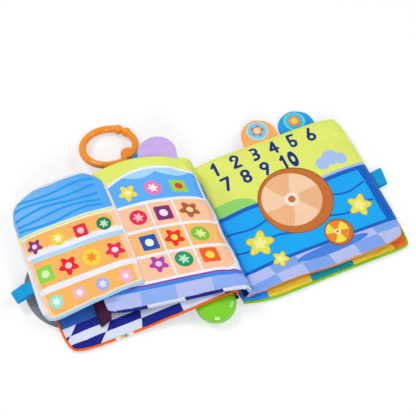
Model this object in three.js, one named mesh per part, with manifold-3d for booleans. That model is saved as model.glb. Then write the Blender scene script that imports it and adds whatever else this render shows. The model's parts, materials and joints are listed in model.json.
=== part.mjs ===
// A soft cloth picture book that lies open, with a push-button sound module on its cover.
// Millimetres. The origin is on the underside of the spine, halfway up the book. +X runs to
// the fore edge of the right cover, +Y to the top of the pages and +Z up.

import * as THREE from 'three';
import { mergeVertices } from 'three/addons/utils/BufferGeometryUtils.js';
import Module from 'manifold-3d';

const wasm = await Module();
wasm.setup();

// Clearances and cloth
const seat = 0.3;
const clothGap = 0.3;
const seamHalf = 1.1;
const bindingRadius = 2;
const overrun = 1;

// Spine and right cover
const spineWidth = 14;
const spineThickness = 3.8;
const spineLength = 156;
const spineEdgeRadius = 1.2;
const rightCoverReach = 172;
const rightCoverHeight = 163;
const rightCoverDrop = 2;
const rightCoverHalf = 3.25;
const rightCoverCorner = 5;
const restCut = 0.5;

// Right page
const rightPageInner = 14;
const rightPageReach = 170;
const pageHeight = 157;
const rightPageHalf = 4.25;
const rightPageCorner = 4;
const rightPageDip = 2.15;
const rightPageDipLength = 26;

// Left cover, which climbs over the module
const leftCoverInner = 9.4;
const leftCoverReach = 168;
const leftCoverHeight = 158;
const leftCoverHalf = 2.25;
const leftCoverCorner = 7;
const leftCoverBottom = -75.5;
const leftCoverLift = 13;
const leftCoverLiftLength = 110;
const leftCoverFloor = 0.5;
const leftCoverFall = 80;
const leftCoverFallLead = 5;

// Left page, an arch from the spine to the hanging fore edge
const leftPageInner = 4.3;
const leftPageForeBottom = 124;
const leftPageForeTop = 94;
const leftPageBottom = -72;
const leftPageTop = 77.5;
const leftPageBulge = 4;
const leftPageBulgeLength = 100;
const leftPageFanShare = 0.25;
const leftPageHalf = 2.5;
const leftPageCorner = 4;
const leftPageLow = 16;
const leftPageCrest = 29.8;
const leftPageCrestHold = 20;
const leftPageFall = 90;
const archRise = 8;
const archExtraRise = 3;
const archExtraLength = 30;
const humpRise = 8;
const humpPlace = 50;
const humpWidth = 30;

// Folding panel on the left page
const flapHinge = 85;
const flapForeBottom = 183;
const flapForeTop = 174;
const flapBottom = -32.5;
const flapBottomDrop = 8;
const flapTop = 100;
const flapTopLift = 3;
const flapHalf = 3;
const flapCorner = 5;
const flapFreeLow = 14;
const flapFreeHigh = 20;
const flapSeat = 0.45;

// Module
const moduleCentre = -27;
const moduleHalfWidth = 19.5;
const moduleBottom = -87;
const moduleLength = 128;
const moduleFloor = 0.6;
const moduleParting = 8.8;
const moduleCrown = 14.9;
const moduleWall = 1.4;
const moduleLowerRadius = 5;
const moduleCrownInset = 9;
const moduleSeamInset = 0.5;

// Button, with the ring of silicone that returns it
const buttonRadius = 11;
const buttonFace = 0.3;
const buttonFlange = 1.2;
const buttonFlangeThickness = 0.9;
const buttonWall = 1.5;
const buttonTravel = 1.5;
const domeOuter = 9.4;
const domeInner = 6;
const domeHeight = 2.6;
const diodeRadius = 2.4;
const boardThickness = 1.2;
const boardHalfWidth = 13;
const boardLength = 18;

// Speaker and its grille
const speakerRadius = 9;
const speakerRimHeight = 3;
const speakerMagnetRadius = 5.5;
const speakerMagnetHeight = 3.6;
const grilleSlot = 1.6;
const grillePitch = 3.2;
const grilleRadius = 7.6;

// Power slider
const sliderSlotLength = 9;
const sliderSlotWidth = 3.4;
const sliderTravel = 4;
const sliderPlateMargin = 1.4;
const sliderPlateThickness = 1;

// Battery bay
const cellRadius = 5.25;
const bayMargin = 12.8;
const cellNubRadius = 1.9;
const cellNubHeight = 0.8;
const cellSpace = 0.7;
const contactThickness = 0.5;
const contactBump = 0.9;
const doorHalfWidth = 12.2;
const doorThickness = 1.6;
const doorCorner = 3;
const doorMargin = 1.2;
const doorEar = 7;
const doorRibHalf = 0.8;
const doorRibHeight = 1.8;

// Screws and their posts
const screwHeadRadius = 2.3;
const screwHeadHeight = 1;
const screwShankRadius = 1.1;
const screwLength = 8.5;
const screwRecess = 0.5;
const postRadius = 2.7;
const postSpread = 14.4;

// Carry ring
const ringCentreX = -58.5;
const ringBeyondCover = 51.5;
const ringRadius = 29.3;
const ringTubeRadius = 4.3;
const ringTiltDegrees = 11;
const ringLugDegrees = -55;
const ringGapDegrees = 38;
const ringGapHalf = 1.2;
const ringKnobRadius = 5;
const lugRadius = 8.8;
const lugHalf = 2.1;
const slotInner = 1.7;
const slotOuter = 2.2;
const slotHalfLength = 6;

// Ribbons, strap and tabs
const strapHalfWidth = 5.2;
const strapHalf = 0.6;
const strapTurn = 3.4;
const strapLap = 9;
const ribbonHalf = 0.5;
const ribbonTurn = 1.1;
const ribbonOut = 10;
const leftRibbonOut = 15;
const rightRibbonHalfWidth = 10;
const rightRibbonPlace = -5;
const leftRibbonHalfWidth = 6.5;
const leftRibbonPlace = 15;
const tabHalf = 2;
const lilacTabHalfWidth = 20;
const lilacTabOut = 27;
const lilacTabPlace = 22;
const lilacTabDroop = 6;
const orangeTabHalfWidth = 19;
const orangeTabOut = 23;
const orangeTabPlace = 88;
const blueTabHalfWidth = 20;
const blueTabOut = 20;
const blueTabPlace = 132;

// Felt disc and closing strap on the left cover
const feltRadius = 43.5;
const feltHalf = 0.9;
const feltX = -143;
const feltY = 7.5;
const feltLift = 1.35;
const closingHalfWidth = 6;
const closingHalf = 0.7;
const closingX = -129.4;
const closingFront = -46;
const closingUnder = 8;
const closingOver = 22;
const closingTurn = 1.5;
const closingClimb = 2.2;

// Counts and curve powers
const padCells = 14;
const stripCells = 8;
const tubeSides = 6;
const roundSides = 28;
const postSides = 10;
const outlineSegments = 3;
const edgeSteps = 4;
const ringSides = 10;
const ringSteps = 44;
const knobSides = 12;
const cornerPower = 8;
const pillowPower = 6;
const coverFallPower = 2.2;
const pageFallPower = 1.5;
const archPower = 1.3;
const flapEdgePower = 8;
const tabNarrowShare = 0.84;
const tabBowShare = 0.1;
const tabSidePower = 4;
const linerShare = 0.864;
const screwChamferShare = 0.8;
const contactShare = 0.7;
const plungerShares = [[0.55, 0.06], [0.86, 0.36]];
const domeTopShare = 0.2;
const diodeShoulderShare = 0.7;
const diodeDomeShare = 0.3;
const speakerConeShare = 0.5;
const speakerRimShare = 0.85;
const strapDipShares = [0.45, 0.25];
const strapEndShares = [0.8, 0.6];
const strapBends = [90, 135, 180, 225, 270];
const differenceShare = 1e-3;

const mix = (from, to, share) => from + (to - from) * share;
const clamp = (value) => Math.min(1, Math.max(0, value));
const smooth = (value) => clamp(value) ** 2 * (3 - 2 * clamp(value));

// Solids and meshes
function bare(geometry) {
  const copy = geometry.index ? geometry.clone() : geometry;
  for (const name of Object.keys(copy.attributes)) {
    if (name !== 'position') copy.deleteAttribute(name);
  }
  return mergeVertices(copy, 1e-4);
}

function solid(geometry, matrix = new THREE.Matrix4()) {
  const closed = bare(geometry).applyMatrix4(matrix);
  return new wasm.Manifold(new wasm.Mesh({
    numProp: 3,
    vertProperties: new Float32Array(closed.attributes.position.array),
    triVerts: new Uint32Array(closed.index.array),
  }));
}

function geometryOf(manifold) {
  const mesh = manifold.getMesh();
  const geometry = new THREE.BufferGeometry();
  geometry.setAttribute('position', new THREE.BufferAttribute(mesh.vertProperties, 3));
  geometry.setIndex(new THREE.BufferAttribute(mesh.triVerts, 1));
  return geometry;
}

function piece(name, geometry, look) {
  const drawn = geometry.toNonIndexed();
  drawn.computeVertexNormals();
  const mesh = new THREE.Mesh(drawn, new THREE.MeshStandardMaterial(look));
  mesh.name = name;
  return mesh;
}

const cloth = (color) => ({ color, roughness: 0.85, metalness: 0 });
const plastic = (color) => ({ color, roughness: 0.25, metalness: 0 });
const metal = (color) => ({ color, roughness: 0.35, metalness: 1 });

// A grid of two skins, half a thickness to either side of the surface that the cloth lies on.
// The shares a and b run from -1 to 1, and the cells are finer near the edges.
function sheetGeometry(cellsAlong, cellsAcross, lie, half, floor = -Infinity) {
  const positions = [];
  const index = [];
  const row = cellsAcross + 1;
  const skin = row * (cellsAlong + 1);
  const share = (step, cells) => -Math.cos(Math.PI * step / cells);
  for (const side of [1, -1]) {
    for (let i = 0; i <= cellsAlong; i += 1) {
      for (let j = 0; j <= cellsAcross; j += 1) {
        const a = share(i, cellsAlong);
        const b = share(j, cellsAcross);
        const along = lie(a + differenceShare, b).sub(lie(a - differenceShare, b));
        const across = lie(a, b + differenceShare).sub(lie(a, b - differenceShare));
        const out = along.cross(across).normalize();
        const point = lie(a, b).addScaledVector(out, side * half(a, b));
        positions.push(point.x, point.y, Math.max(floor, point.z));
      }
    }
  }
  const quad = (p, q, r, s) => index.push(p, q, r, p, r, s);
  for (let i = 0; i < cellsAlong; i += 1) {
    for (let j = 0; j < cellsAcross; j += 1) {
      const corner = i * row + j;
      quad(corner, corner + row, corner + row + 1, corner + 1);
      quad(skin + corner, skin + corner + 1, skin + corner + row + 1, skin + corner + row);
    }
  }
  for (let i = 0; i < cellsAlong; i += 1) {
    const low = i * row;
    const high = low + cellsAcross;
    quad(low, low + skin, low + row + skin, low + row);
    quad(high + row, high + row + skin, high + skin, high);
  }
  for (let j = 0; j < cellsAcross; j += 1) {
    const end = cellsAlong * row + j;
    quad(j + 1, j + 1 + skin, j + skin, j);
    quad(end, end + skin, end + 1 + skin, end + 1);
  }
  const geometry = new THREE.BufferGeometry();
  geometry.setAttribute('position', new THREE.Float32BufferAttribute(positions, 3));
  geometry.setIndex(index);
  return geometry;
}

// Corners are drawn in by a share of the half size
const drawn = (along, across, share) => along * (1 - share * Math.abs(across) ** cornerPower);

function pillow(full) {
  return (a, b) => {
    const crown = (1 - Math.abs(a) ** pillowPower) * (1 - Math.abs(b) ** pillowPower);
    return seamHalf + (full - seamHalf) * Math.sqrt(clamp(crown));
  };
}

// A cloth pad that is sewn shut on three sides and stays full where the spine cloth meets it
function openPillow(full) {
  const closed = pillow(full);
  return (a, b) => closed(Math.min(0, a), b);
}

// A round tube with flat ends along a row of points
function tubeGeometry(points, radius, sides) {
  const positions = [];
  const index = [];
  const up = new THREE.Vector3(0, 0, 1);
  points.forEach((point, i) => {
    const before = points[Math.max(0, i - 1)];
    const after = points[Math.min(points.length - 1, i + 1)];
    const tangent = after.clone().sub(before).normalize();
    const side = tangent.clone().cross(up).normalize();
    const rise = side.clone().cross(tangent);
    for (let k = 0; k < sides; k += 1) {
      const angle = 2 * Math.PI * k / sides;
      const spot = point.clone();
      spot.addScaledVector(side, radius * Math.cos(angle));
      spot.addScaledVector(rise, radius * Math.sin(angle));
      positions.push(spot.x, spot.y, spot.z);
    }
  });
  for (let i = 0; i + 1 < points.length; i += 1) {
    for (let k = 0; k < sides; k += 1) {
      const next = (k + 1) % sides;
      const here = i * sides;
      const there = here + sides;
      index.push(here + k, there + next, here + next, here + k, there + k, there + next);
    }
  }
  const last = (points.length - 1) * sides;
  for (let k = 1; k + 1 < sides; k += 1) {
    index.push(0, k, k + 1, last, last + k + 1, last + k);
  }
  const geometry = new THREE.BufferGeometry();
  geometry.setAttribute('position', new THREE.Float32BufferAttribute(positions, 3));
  geometry.setIndex(index);
  return geometry;
}

// The binding tape round three sides of a cover, just outside its seam
function bindingGeometry(lie, foreSide) {
  const shares = [];
  for (let i = 0; i <= padCells; i += 1) shares.push(-Math.cos(Math.PI * i / padCells));
  const bottom = shares.map((a) => lie(a * foreSide, -1));
  const fore = shares.slice(1, -1).map((b) => lie(foreSide, b));
  const top = shares.map((a) => lie(-a * foreSide, 1));
  const edge = [...bottom, ...fore, ...top];
  const up = new THREE.Vector3(0, 0, 1);
  const points = edge.map((point, i) => {
    const before = edge[Math.max(0, i - 1)];
    const after = edge[Math.min(edge.length - 1, i + 1)];
    const out = after.clone().sub(before).cross(up).normalize();
    return point.clone().addScaledVector(out, foreSide * (bindingRadius + clothGap));
  });
  return tubeGeometry(points, bindingRadius, tubeSides);
}

// A flat outline, pulled up to a height
function slab(shape, bottom, height, matrix = new THREE.Matrix4()) {
  const settings = { depth: height, bevelEnabled: false, curveSegments: outlineSegments };
  const geometry = new THREE.ExtrudeGeometry(shape, settings);
  return solid(geometry, matrix.clone().multiply(new THREE.Matrix4().makeTranslation(0, 0, bottom)));
}

function roundedShape(x, y, halfX, halfY, radius) {
  const shape = new THREE.Shape();
  shape.absarc(x + halfX - radius, y - halfY + radius, radius, -Math.PI / 2, 0);
  shape.absarc(x + halfX - radius, y + halfY - radius, radius, 0, Math.PI / 2);
  shape.absarc(x - halfX + radius, y + halfY - radius, radius, Math.PI / 2, Math.PI);
  shape.absarc(x - halfX + radius, y - halfY + radius, radius, Math.PI, 3 * Math.PI / 2);
  shape.closePath();
  return shape;
}

// A turned piece about an upright axis, from the radii and heights of its profile
function turned(profile, x, y, sides = roundSides) {
  const points = profile.map(([radius, z]) => new THREE.Vector2(radius, z));
  const geometry = new THREE.LatheGeometry(points, sides);
  const upright = new THREE.Matrix4().makeRotationX(Math.PI / 2);
  return solid(geometry, new THREE.Matrix4().makeTranslation(x, y, 0).multiply(upright));
}

function post(x, y, radius, bottom, top, sides = postSides) {
  return turned([[0, bottom], [radius, bottom], [radius, top], [0, top]], x, y, sides);
}

// Spine panel
function spinePanel() {
  const half = spineThickness / 2;
  const profile = roundedShape(0, half, spineWidth / 2, half, spineEdgeRadius);
  const along = new THREE.Matrix4().makeRotationX(Math.PI / 2);
  const panel = slab(profile, -spineLength / 2, spineLength, along);
  return piece('spine_panel', geometryOf(panel), cloth(0x2e86e8));
}

// Right cover and its page
const trim = 2 * bindingRadius + clothGap;
const rightCoverInner = spineWidth / 2 + clothGap;
const rightCoverMid = (rightCoverInner + rightCoverReach - trim) / 2;
const rightCoverHalfLength = (rightCoverReach - trim - rightCoverInner) / 2;
const rightCoverHalfHeight = rightCoverHeight / 2 - trim;

function rightCoverLie(a, b) {
  const x = drawn(a, b, rightCoverCorner / rightCoverHalfLength) * rightCoverHalfLength;
  const y = drawn(b, a, rightCoverCorner / rightCoverHalfHeight) * rightCoverHalfHeight;
  return new THREE.Vector3(rightCoverMid + x, y - rightCoverDrop, rightCoverHalf - restCut);
}

const rightCoverTop = 2 * rightCoverHalf - restCut;
const rightPageMid = rightCoverTop + clothGap + rightPageHalf;

function rightPageLie(a, b) {
  const halfLength = (rightPageReach - rightPageInner) / 2;
  const halfHeight = pageHeight / 2;
  const foreward = Math.max(0, a);
  const x = rightPageInner + halfLength + drawn(a, b, rightPageCorner / halfLength) * halfLength;
  const y = drawn(b, foreward, rightPageCorner / halfHeight) * halfHeight;
  const dip = rightPageDip * (1 - smooth((x - rightPageInner) / rightPageDipLength));
  return new THREE.Vector3(x, y, rightPageMid - dip);
}

function rightCover() {
  const pad = sheetGeometry(padCells, padCells, rightCoverLie, pillow(rightCoverHalf), 0);
  return [
    piece('back_cover', pad, cloth(0xffc21a)),
    piece('back_cover_binding', bindingGeometry(rightCoverLie, 1), cloth(0x86d820)),
  ];
}

function rightPage() {
  const page = sheetGeometry(padCells, padCells, rightPageLie, pillow(rightPageHalf));
  return piece('right_page', page, cloth(0x2fa4f0));
}

// A strip of spine cloth along a curve of the section, drawn for each share of the height
function spineCloth(name, curveAt, heightAt, half, look) {
  const lie = (a, b) => {
    const spot = curveAt((b + 1) / 2).getPoint(clamp((a + 1) / 2));
    const past = Math.max(0, Math.abs(a) - 1) * Math.sign(a);
    const ahead = curveAt((b + 1) / 2).getTangent(clamp((a + 1) / 2));
    return new THREE.Vector3(spot.x + past * ahead.x, heightAt(spot.x, b), spot.y + past * ahead.y);
  };
  return piece(name, sheetGeometry(stripCells, padCells, lie, half), look);
}

function rightPageGusset() {
  const end = rightPageInner - clothGap;
  const foot = spineWidth / 2 - seamHalf * 2;
  const low = spineThickness + seamHalf + clothGap;
  const high = rightPageMid - rightPageDip;
  const curve = new THREE.CubicBezierCurve(
    new THREE.Vector2(foot, low),
    new THREE.Vector2(mix(foot, end, 1 / 3), mix(low, high, 2 / 3)),
    new THREE.Vector2(mix(foot, end, 2 / 3), high),
    new THREE.Vector2(end, high),
  );
  const half = () => seamHalf * linerShare;
  const height = (x, b) => b * (pageHeight / 2 - trim);
  return spineCloth('right_page_gusset', () => curve, height, half, cloth(0x1787ea));
}

// Left cover
const moduleTop = moduleCrown + 2 * seat;
const leftCoverHigh = moduleTop + leftCoverHalf;
const leftCoverLow = leftCoverFloor + leftCoverHalf;
const leftCoverFallStart = moduleHalfWidth - moduleCentre - leftCoverFallLead;

function leftCoverMidAt(distance) {
  const share = clamp((distance - leftCoverFallStart) / leftCoverFall);
  return leftCoverLow + (leftCoverHigh - leftCoverLow) * (1 - share) ** coverFallPower;
}

function leftCoverBottomAt(distance) {
  return leftCoverBottom + leftCoverLift * (1 - (1 - clamp(distance / leftCoverLiftLength)) ** 2);
}

function leftCoverLie(a, b) {
  const reach = leftCoverReach - trim;
  const halfLength = (reach - leftCoverInner) / 2;
  const halfHeight = leftCoverHeight / 2 - trim;
  const foreward = Math.min(0, a);
  const along = foreward < 0 ? drawn(a, b, leftCoverCorner / halfLength) : a;
  const distance = leftCoverInner + halfLength - along * halfLength;
  const across = drawn(b, foreward, leftCoverCorner / halfHeight);
  const y = leftCoverBottomAt(distance) + leftCoverHeight / 2 + across * halfHeight;
  return new THREE.Vector3(-distance, y, leftCoverMidAt(distance));
}

function leftCover() {
  const pad = sheetGeometry(padCells, padCells, leftCoverLie, pillow(leftCoverHalf));
  return [
    piece('front_cover', pad, cloth(0x1a2a8c)),
    piece('front_cover_binding', bindingGeometry(leftCoverLie, -1), cloth(0xff5a00)),
  ];
}

function coverHingeCloth() {
  const outer = -spineWidth / 2 + seamHalf;
  const foot = spineThickness + clothGap;
  const start = leftCoverInner - clothGap;
  const curve = new THREE.CubicBezierCurve(
    new THREE.Vector2(-start, leftCoverHigh),
    new THREE.Vector2(outer + 2 * seamHalf, leftCoverHigh + seamHalf),
    new THREE.Vector2(outer + seamHalf, mix(foot, leftCoverHigh, 1 / 2)),
    new THREE.Vector2(outer, foot),
  );
  const middle = leftCoverBottomAt(leftCoverInner) + leftCoverHeight / 2;
  const half = () => seamHalf * linerShare;
  const height = (x, b) => middle + b * (leftCoverHeight / 2 - 2 * trim);
  return spineCloth('cover_hinge_cloth', () => curve, height, half, cloth(0x1a2a8c));
}

// Left page
const fan = (distance) => leftPageFanShare * distance;

function leftPageTopAt(distance, v) {
  const share = clamp((distance - leftPageCrestHold) / leftPageFall);
  const slope = leftPageLow + (leftPageCrest - leftPageLow) * (1 - share) ** pageFallPower;
  const hump = humpRise * Math.exp(-(((distance - humpPlace) / humpWidth) ** 2));
  const rise = archRise + archExtraRise * smooth(distance / archExtraLength) + hump;
  return slope + rise * clamp(v) ** archPower;
}

function leftPageHeightAt(distance, v) {
  const bulge = leftPageBulge * Math.sin(Math.PI * clamp(distance / leftPageBulgeLength));
  return mix(leftPageBottom, leftPageTop + bulge, v) + fan(distance);
}

function leftPageLie(a, b) {
  const halfLength = leftPageForeBottom / 2;
  const halfHeight = pageHeight / 2;
  const foreward = Math.min(0, a);
  const along = foreward < 0 ? drawn(a, b, leftPageCorner / halfLength) : a;
  const v = (drawn(b, foreward, leftPageCorner / halfHeight) + 1) / 2;
  const fore = mix(leftPageForeBottom, leftPageForeTop, v);
  const distance = mix(leftPageInner, fore, (1 - along) / 2);
  const z = leftPageTopAt(distance, v) - leftPageHalf;
  return new THREE.Vector3(-distance, leftPageHeightAt(distance, v), z);
}

function leftPage() {
  const page = sheetGeometry(padCells, padCells, leftPageLie, openPillow(leftPageHalf));
  return piece('left_page', page, cloth(0xe6f070));
}

function leftPageGusset() {
  const start = leftPageInner - 2 * clothGap;
  const crest = leftPageHalf * 4;
  const foot = new THREE.Vector2(seamHalf, spineThickness + clothGap + seamHalf);
  const curveAt = (v) => {
    const high = leftPageTopAt(leftPageInner, v) - leftPageHalf;
    return new THREE.CubicBezierCurve(
      new THREE.Vector2(-start, high),
      new THREE.Vector2(crest - seamHalf, high + seamHalf),
      new THREE.Vector2(crest, mix(foot.y, high, 1 / 3)),
      foot,
    );
  };
  const closed = pillow(leftPageHalf);
  const half = (a, b) => mix(closed(0, b), seamHalf, smooth((a + 1) / 2));
  const height = (x, b) => leftPageHeightAt(-x, (b + 1) / 2);
  return spineCloth('left_page_gusset', curveAt, height, half, cloth(0x5c9cf0));
}

// Folding panel
function flapLie(a, b) {
  const halfLength = (flapForeBottom - flapHinge) / 2;
  const halfHeight = (flapTop - flapBottom) / 2;
  const foreward = Math.min(0, a);
  const along = foreward < 0 ? drawn(a, b, flapCorner / halfLength) : a;
  const v = (drawn(b, foreward, flapCorner / halfHeight) + 1) / 2;
  const share = (1 - along) / 2;
  const distance = mix(flapHinge, mix(flapForeBottom, flapForeTop, v), share);
  const y = mix(flapBottom - flapBottomDrop * share, flapTop + flapTopLift * share, v);
  const pageLow = leftPageHeightAt(flapHinge, 0);
  const pageShare = (y - pageLow) / (leftPageHeightAt(flapHinge, 1) - pageLow);
  const lift = mix(seamHalf, flapHalf, clamp(1 - a ** flapEdgePower));
  const hinge = leftPageTopAt(flapHinge, pageShare) + flapSeat + lift;
  const free = mix(flapFreeLow, flapFreeHigh, v) - flapHalf;
  return new THREE.Vector3(-distance, y, mix(hinge, free, clamp(share) ** 2));
}

function doorFlap() {
  const pad = sheetGeometry(padCells, padCells, flapLie, pillow(flapHalf));
  return piece('door_flap', pad, cloth(0x9cd8ff));
}

// A ribbon folded back on itself, in an upright plane that leaves a base point
function loopRibbon(name, base, outward, out, halfWidth) {
  const across = new THREE.Vector3(-outward.y, outward.x, 0);
  const straight = out - ribbonTurn - ribbonHalf;
  const lie = (a, b) => {
    const angle = Math.PI * clamp(a + 1 / 2);
    const back = 2 * Math.max(0, Math.abs(a) - 1 / 2) * straight;
    const reach = straight - back + ribbonTurn * Math.sin(angle);
    const spot = base.clone().addScaledVector(outward, reach).addScaledVector(across, b * halfWidth);
    return spot.setZ(base.z - ribbonTurn * Math.cos(angle));
  };
  return piece(name, sheetGeometry(stripCells * 2, 2, lie, () => ribbonHalf), cloth(0x00b4e6));
}

function ribbons() {
  const east = new THREE.Vector3(1, 0, 0);
  const west = new THREE.Vector3(-1, 0, 0);
  const coverEdge = rightCoverLie(1, 0).setY(rightRibbonPlace);
  coverEdge.x = rightCoverReach + 2 * clothGap;
  const flapShare = (leftRibbonPlace - flapBottom) / (flapTop - flapBottom) * 2 - 1;
  const flapEdge = flapLie(-1, flapShare);
  flapEdge.x -= 2 * clothGap;
  return {
    right: loopRibbon('right_ribbon', coverEdge, east, ribbonOut, rightRibbonHalfWidth),
    left: loopRibbon('flap_ribbon', flapEdge, west, leftRibbonOut, leftRibbonHalfWidth),
  };
}

// An index tab, round at its free end, in line with an edge
function indexTab(name, base, outward, size, look) {
  const { halfWidth, out, droop } = size;
  const across = new THREE.Vector3(outward.y, -outward.x, 0);
  const lie = (a, b) => {
    const share = (b + 1) / 2;
    const narrow = Math.sqrt(1 - tabNarrowShare * clamp(share) ** 3);
    return base.clone()
      .addScaledVector(across, a * halfWidth * narrow)
      .addScaledVector(outward, out * share * (1 - tabBowShare * a * a))
      .add(new THREE.Vector3(0, 0, -droop * share * share));
  };
  const half = (a, b) => {
    const crown = (1 - a ** tabSidePower) * (1 - b ** pillowPower);
    return mix(seamHalf, tabHalf, Math.sqrt(clamp(crown)));
  };
  return piece(name, sheetGeometry(stripCells, stripCells, lie, half), look);
}

function indexTabs() {
  const north = new THREE.Vector3(0, 1, 0);
  const aslant = new THREE.Vector3(leftPageFanShare, 1, 0).normalize();
  const pageTop = leftPageHeightAt(lilacTabPlace, 1) + clothGap + seamHalf;
  const pageMid = leftPageTopAt(lilacTabPlace, 1) - leftPageHalf;
  const leftEdge = new THREE.Vector3(-lilacTabPlace, pageTop, pageMid);
  const rightEdge = new THREE.Vector3(orangeTabPlace, pageHeight / 2 + clothGap, rightPageMid);
  const coverTop = rightCoverHeight / 2 - rightCoverDrop + clothGap;
  const coverEdge = new THREE.Vector3(blueTabPlace, coverTop, rightCoverHalf - restCut);
  const lilac = { halfWidth: lilacTabHalfWidth, out: lilacTabOut, droop: lilacTabDroop };
  const orange = { halfWidth: orangeTabHalfWidth, out: orangeTabOut, droop: 0 };
  const blue = { halfWidth: blueTabHalfWidth, out: blueTabOut, droop: 0 };
  return {
    lilac: indexTab('lilac_tab', leftEdge, aslant, lilac, cloth(0xc8a8ec)),
    orange: indexTab('orange_tab', rightEdge, north, orange, cloth(0xffa850)),
    blue: indexTab('blue_tab', coverEdge, north, blue, cloth(0x00a8f8)),
  };
}

// Felt disc and closing strap
function feltDisc() {
  const middle = leftCoverLow + leftCoverHalf + clothGap + feltHalf + feltLift / 2;
  const round = post(0, 0, feltRadius, -feltHalf, feltHalf, roundSides);
  const tilt = new THREE.Matrix4().makeRotationY(-Math.asin(feltLift / (2 * feltRadius)));
  const disc = round.transform(tilt.setPosition(feltX, feltY, middle).toArray());
  return piece('felt_disc', geometryOf(disc), cloth(0x6e6e74));
}

function closingStrap() {
  const low = leftCoverLow + leftCoverHalf + clothGap + closingHalf;
  const lie = (a, b) => {
    const angle = Math.PI * clamp(a + 1 / 2);
    const back = 2 * Math.max(0, Math.abs(a) - 1 / 2) * (a > 0 ? closingOver : closingUnder);
    const climb = 2 * Math.max(0, a - 1 / 2) * closingClimb;
    const y = closingFront + closingTurn + closingHalf + back - closingTurn * Math.sin(angle);
    const rise = closingTurn * (1 - Math.cos(angle)) + climb;
    return new THREE.Vector3(closingX - b * closingHalfWidth, y, low + rise);
  };
  const strip = sheetGeometry(stripCells * 2, 2, lie, () => closingHalf);
  return piece('closing_strap', strip, cloth(0x4a1035));
}

// Module housing: a stack of drawn-in outlines with two round ends
const moduleLowArc = moduleBottom + moduleHalfWidth;
const moduleHighArc = moduleBottom + moduleLength - moduleHalfWidth;

function housing(levels) {
  const steps = roundSides / 2;
  const positions = [];
  const index = [];
  const ring = 2 * (steps + 1);
  for (const [z, inset] of levels) {
    const radius = moduleHalfWidth - inset;
    for (let i = 0; i < ring; i += 1) {
      const upper = i <= steps;
      const angle = Math.PI * (upper ? i : i - 1) / steps;
      const middle = upper ? moduleHighArc : moduleLowArc;
      positions.push(moduleCentre + radius * Math.cos(angle), middle + radius * Math.sin(angle), z);
    }
  }
  for (let level = 0; level + 1 < levels.length; level += 1) {
    for (let i = 0; i < ring; i += 1) {
      const next = (i + 1) % ring;
      const here = level * ring;
      const there = here + ring;
      index.push(here + i, here + next, there + next, here + i, there + next, there + i);
    }
  }
  const last = (levels.length - 1) * ring;
  for (let i = 1; i + 1 < ring; i += 1) index.push(0, i + 1, i, last, last + i, last + i + 1);
  const geometry = new THREE.BufferGeometry();
  geometry.setAttribute('position', new THREE.Float32BufferAttribute(positions, 3));
  geometry.setIndex(index);
  return solid(geometry);
}

// The levels of a rounded edge, from its flat face to its wall
function roundedLevels(flat, wall, inset, base = 0, steps = edgeSteps) {
  const levels = [];
  for (let i = 0; i <= steps; i += 1) {
    const angle = Math.PI / 2 * i / steps;
    levels.push([flat + (wall - flat) * (1 - Math.cos(angle)), base + inset * (1 - Math.sin(angle))]);
  }
  return levels;
}

const screwSeat = moduleFloor + screwRecess + screwHeadHeight + seat;
const floorTop = moduleFloor + moduleWall;
const ceiling = moduleCrown - moduleWall;
const buttonY = moduleLowArc;
const speakerY = buttonY + buttonRadius + buttonFlange + speakerRadius + 2 * moduleWall;
const sliderY = speakerY + speakerRadius + sliderSlotWidth + moduleWall;
const doorBottom = sliderY + sliderSlotWidth / 2 + sliderPlateMargin + moduleWall;
const doorScrewY = doorBottom + doorEar / 2;
const cellBottom = doorBottom + doorEar + contactBump + 2 * contactThickness;
const cellTop = moduleBottom + moduleLength - bayMargin;
const cellLength = cellTop - cellBottom;
const doorTop = cellTop + contactThickness + doorMargin;
const doorMid = (doorBottom + doorTop) / 2;
const doorHalfLength = (doorTop - doorBottom) / 2;
const cellFloor = floorTop + 2 * seat;
const cellSpread = cellRadius + cellSpace / 2;
const boardFloor = moduleFloor + moduleWall + seat + buttonFlangeThickness + domeHeight + 2 * seat;

const casePosts = [
  [moduleCentre - postSpread, (buttonY + speakerY) / 2],
  [moduleCentre + postSpread, (buttonY + speakerY) / 2],
  [moduleCentre - postSpread, sliderY],
  [moduleCentre + postSpread, sliderY],
];
const doorPost = [moduleCentre, doorScrewY];

function grille() {
  const slots = [];
  const most = Math.floor(grilleRadius / grillePitch);
  for (let i = -most; i <= most; i += 1) {
    const y = speakerY + i * grillePitch;
    const halfLength = Math.sqrt(grilleRadius ** 2 - (i * grillePitch) ** 2);
    const end = grilleSlot / 2;
    const outline = roundedShape(moduleCentre, y, halfLength, end, end - differenceShare);
    slots.push(slab(outline, -overrun, floorTop + 2 * overrun));
  }
  return slots;
}

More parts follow.
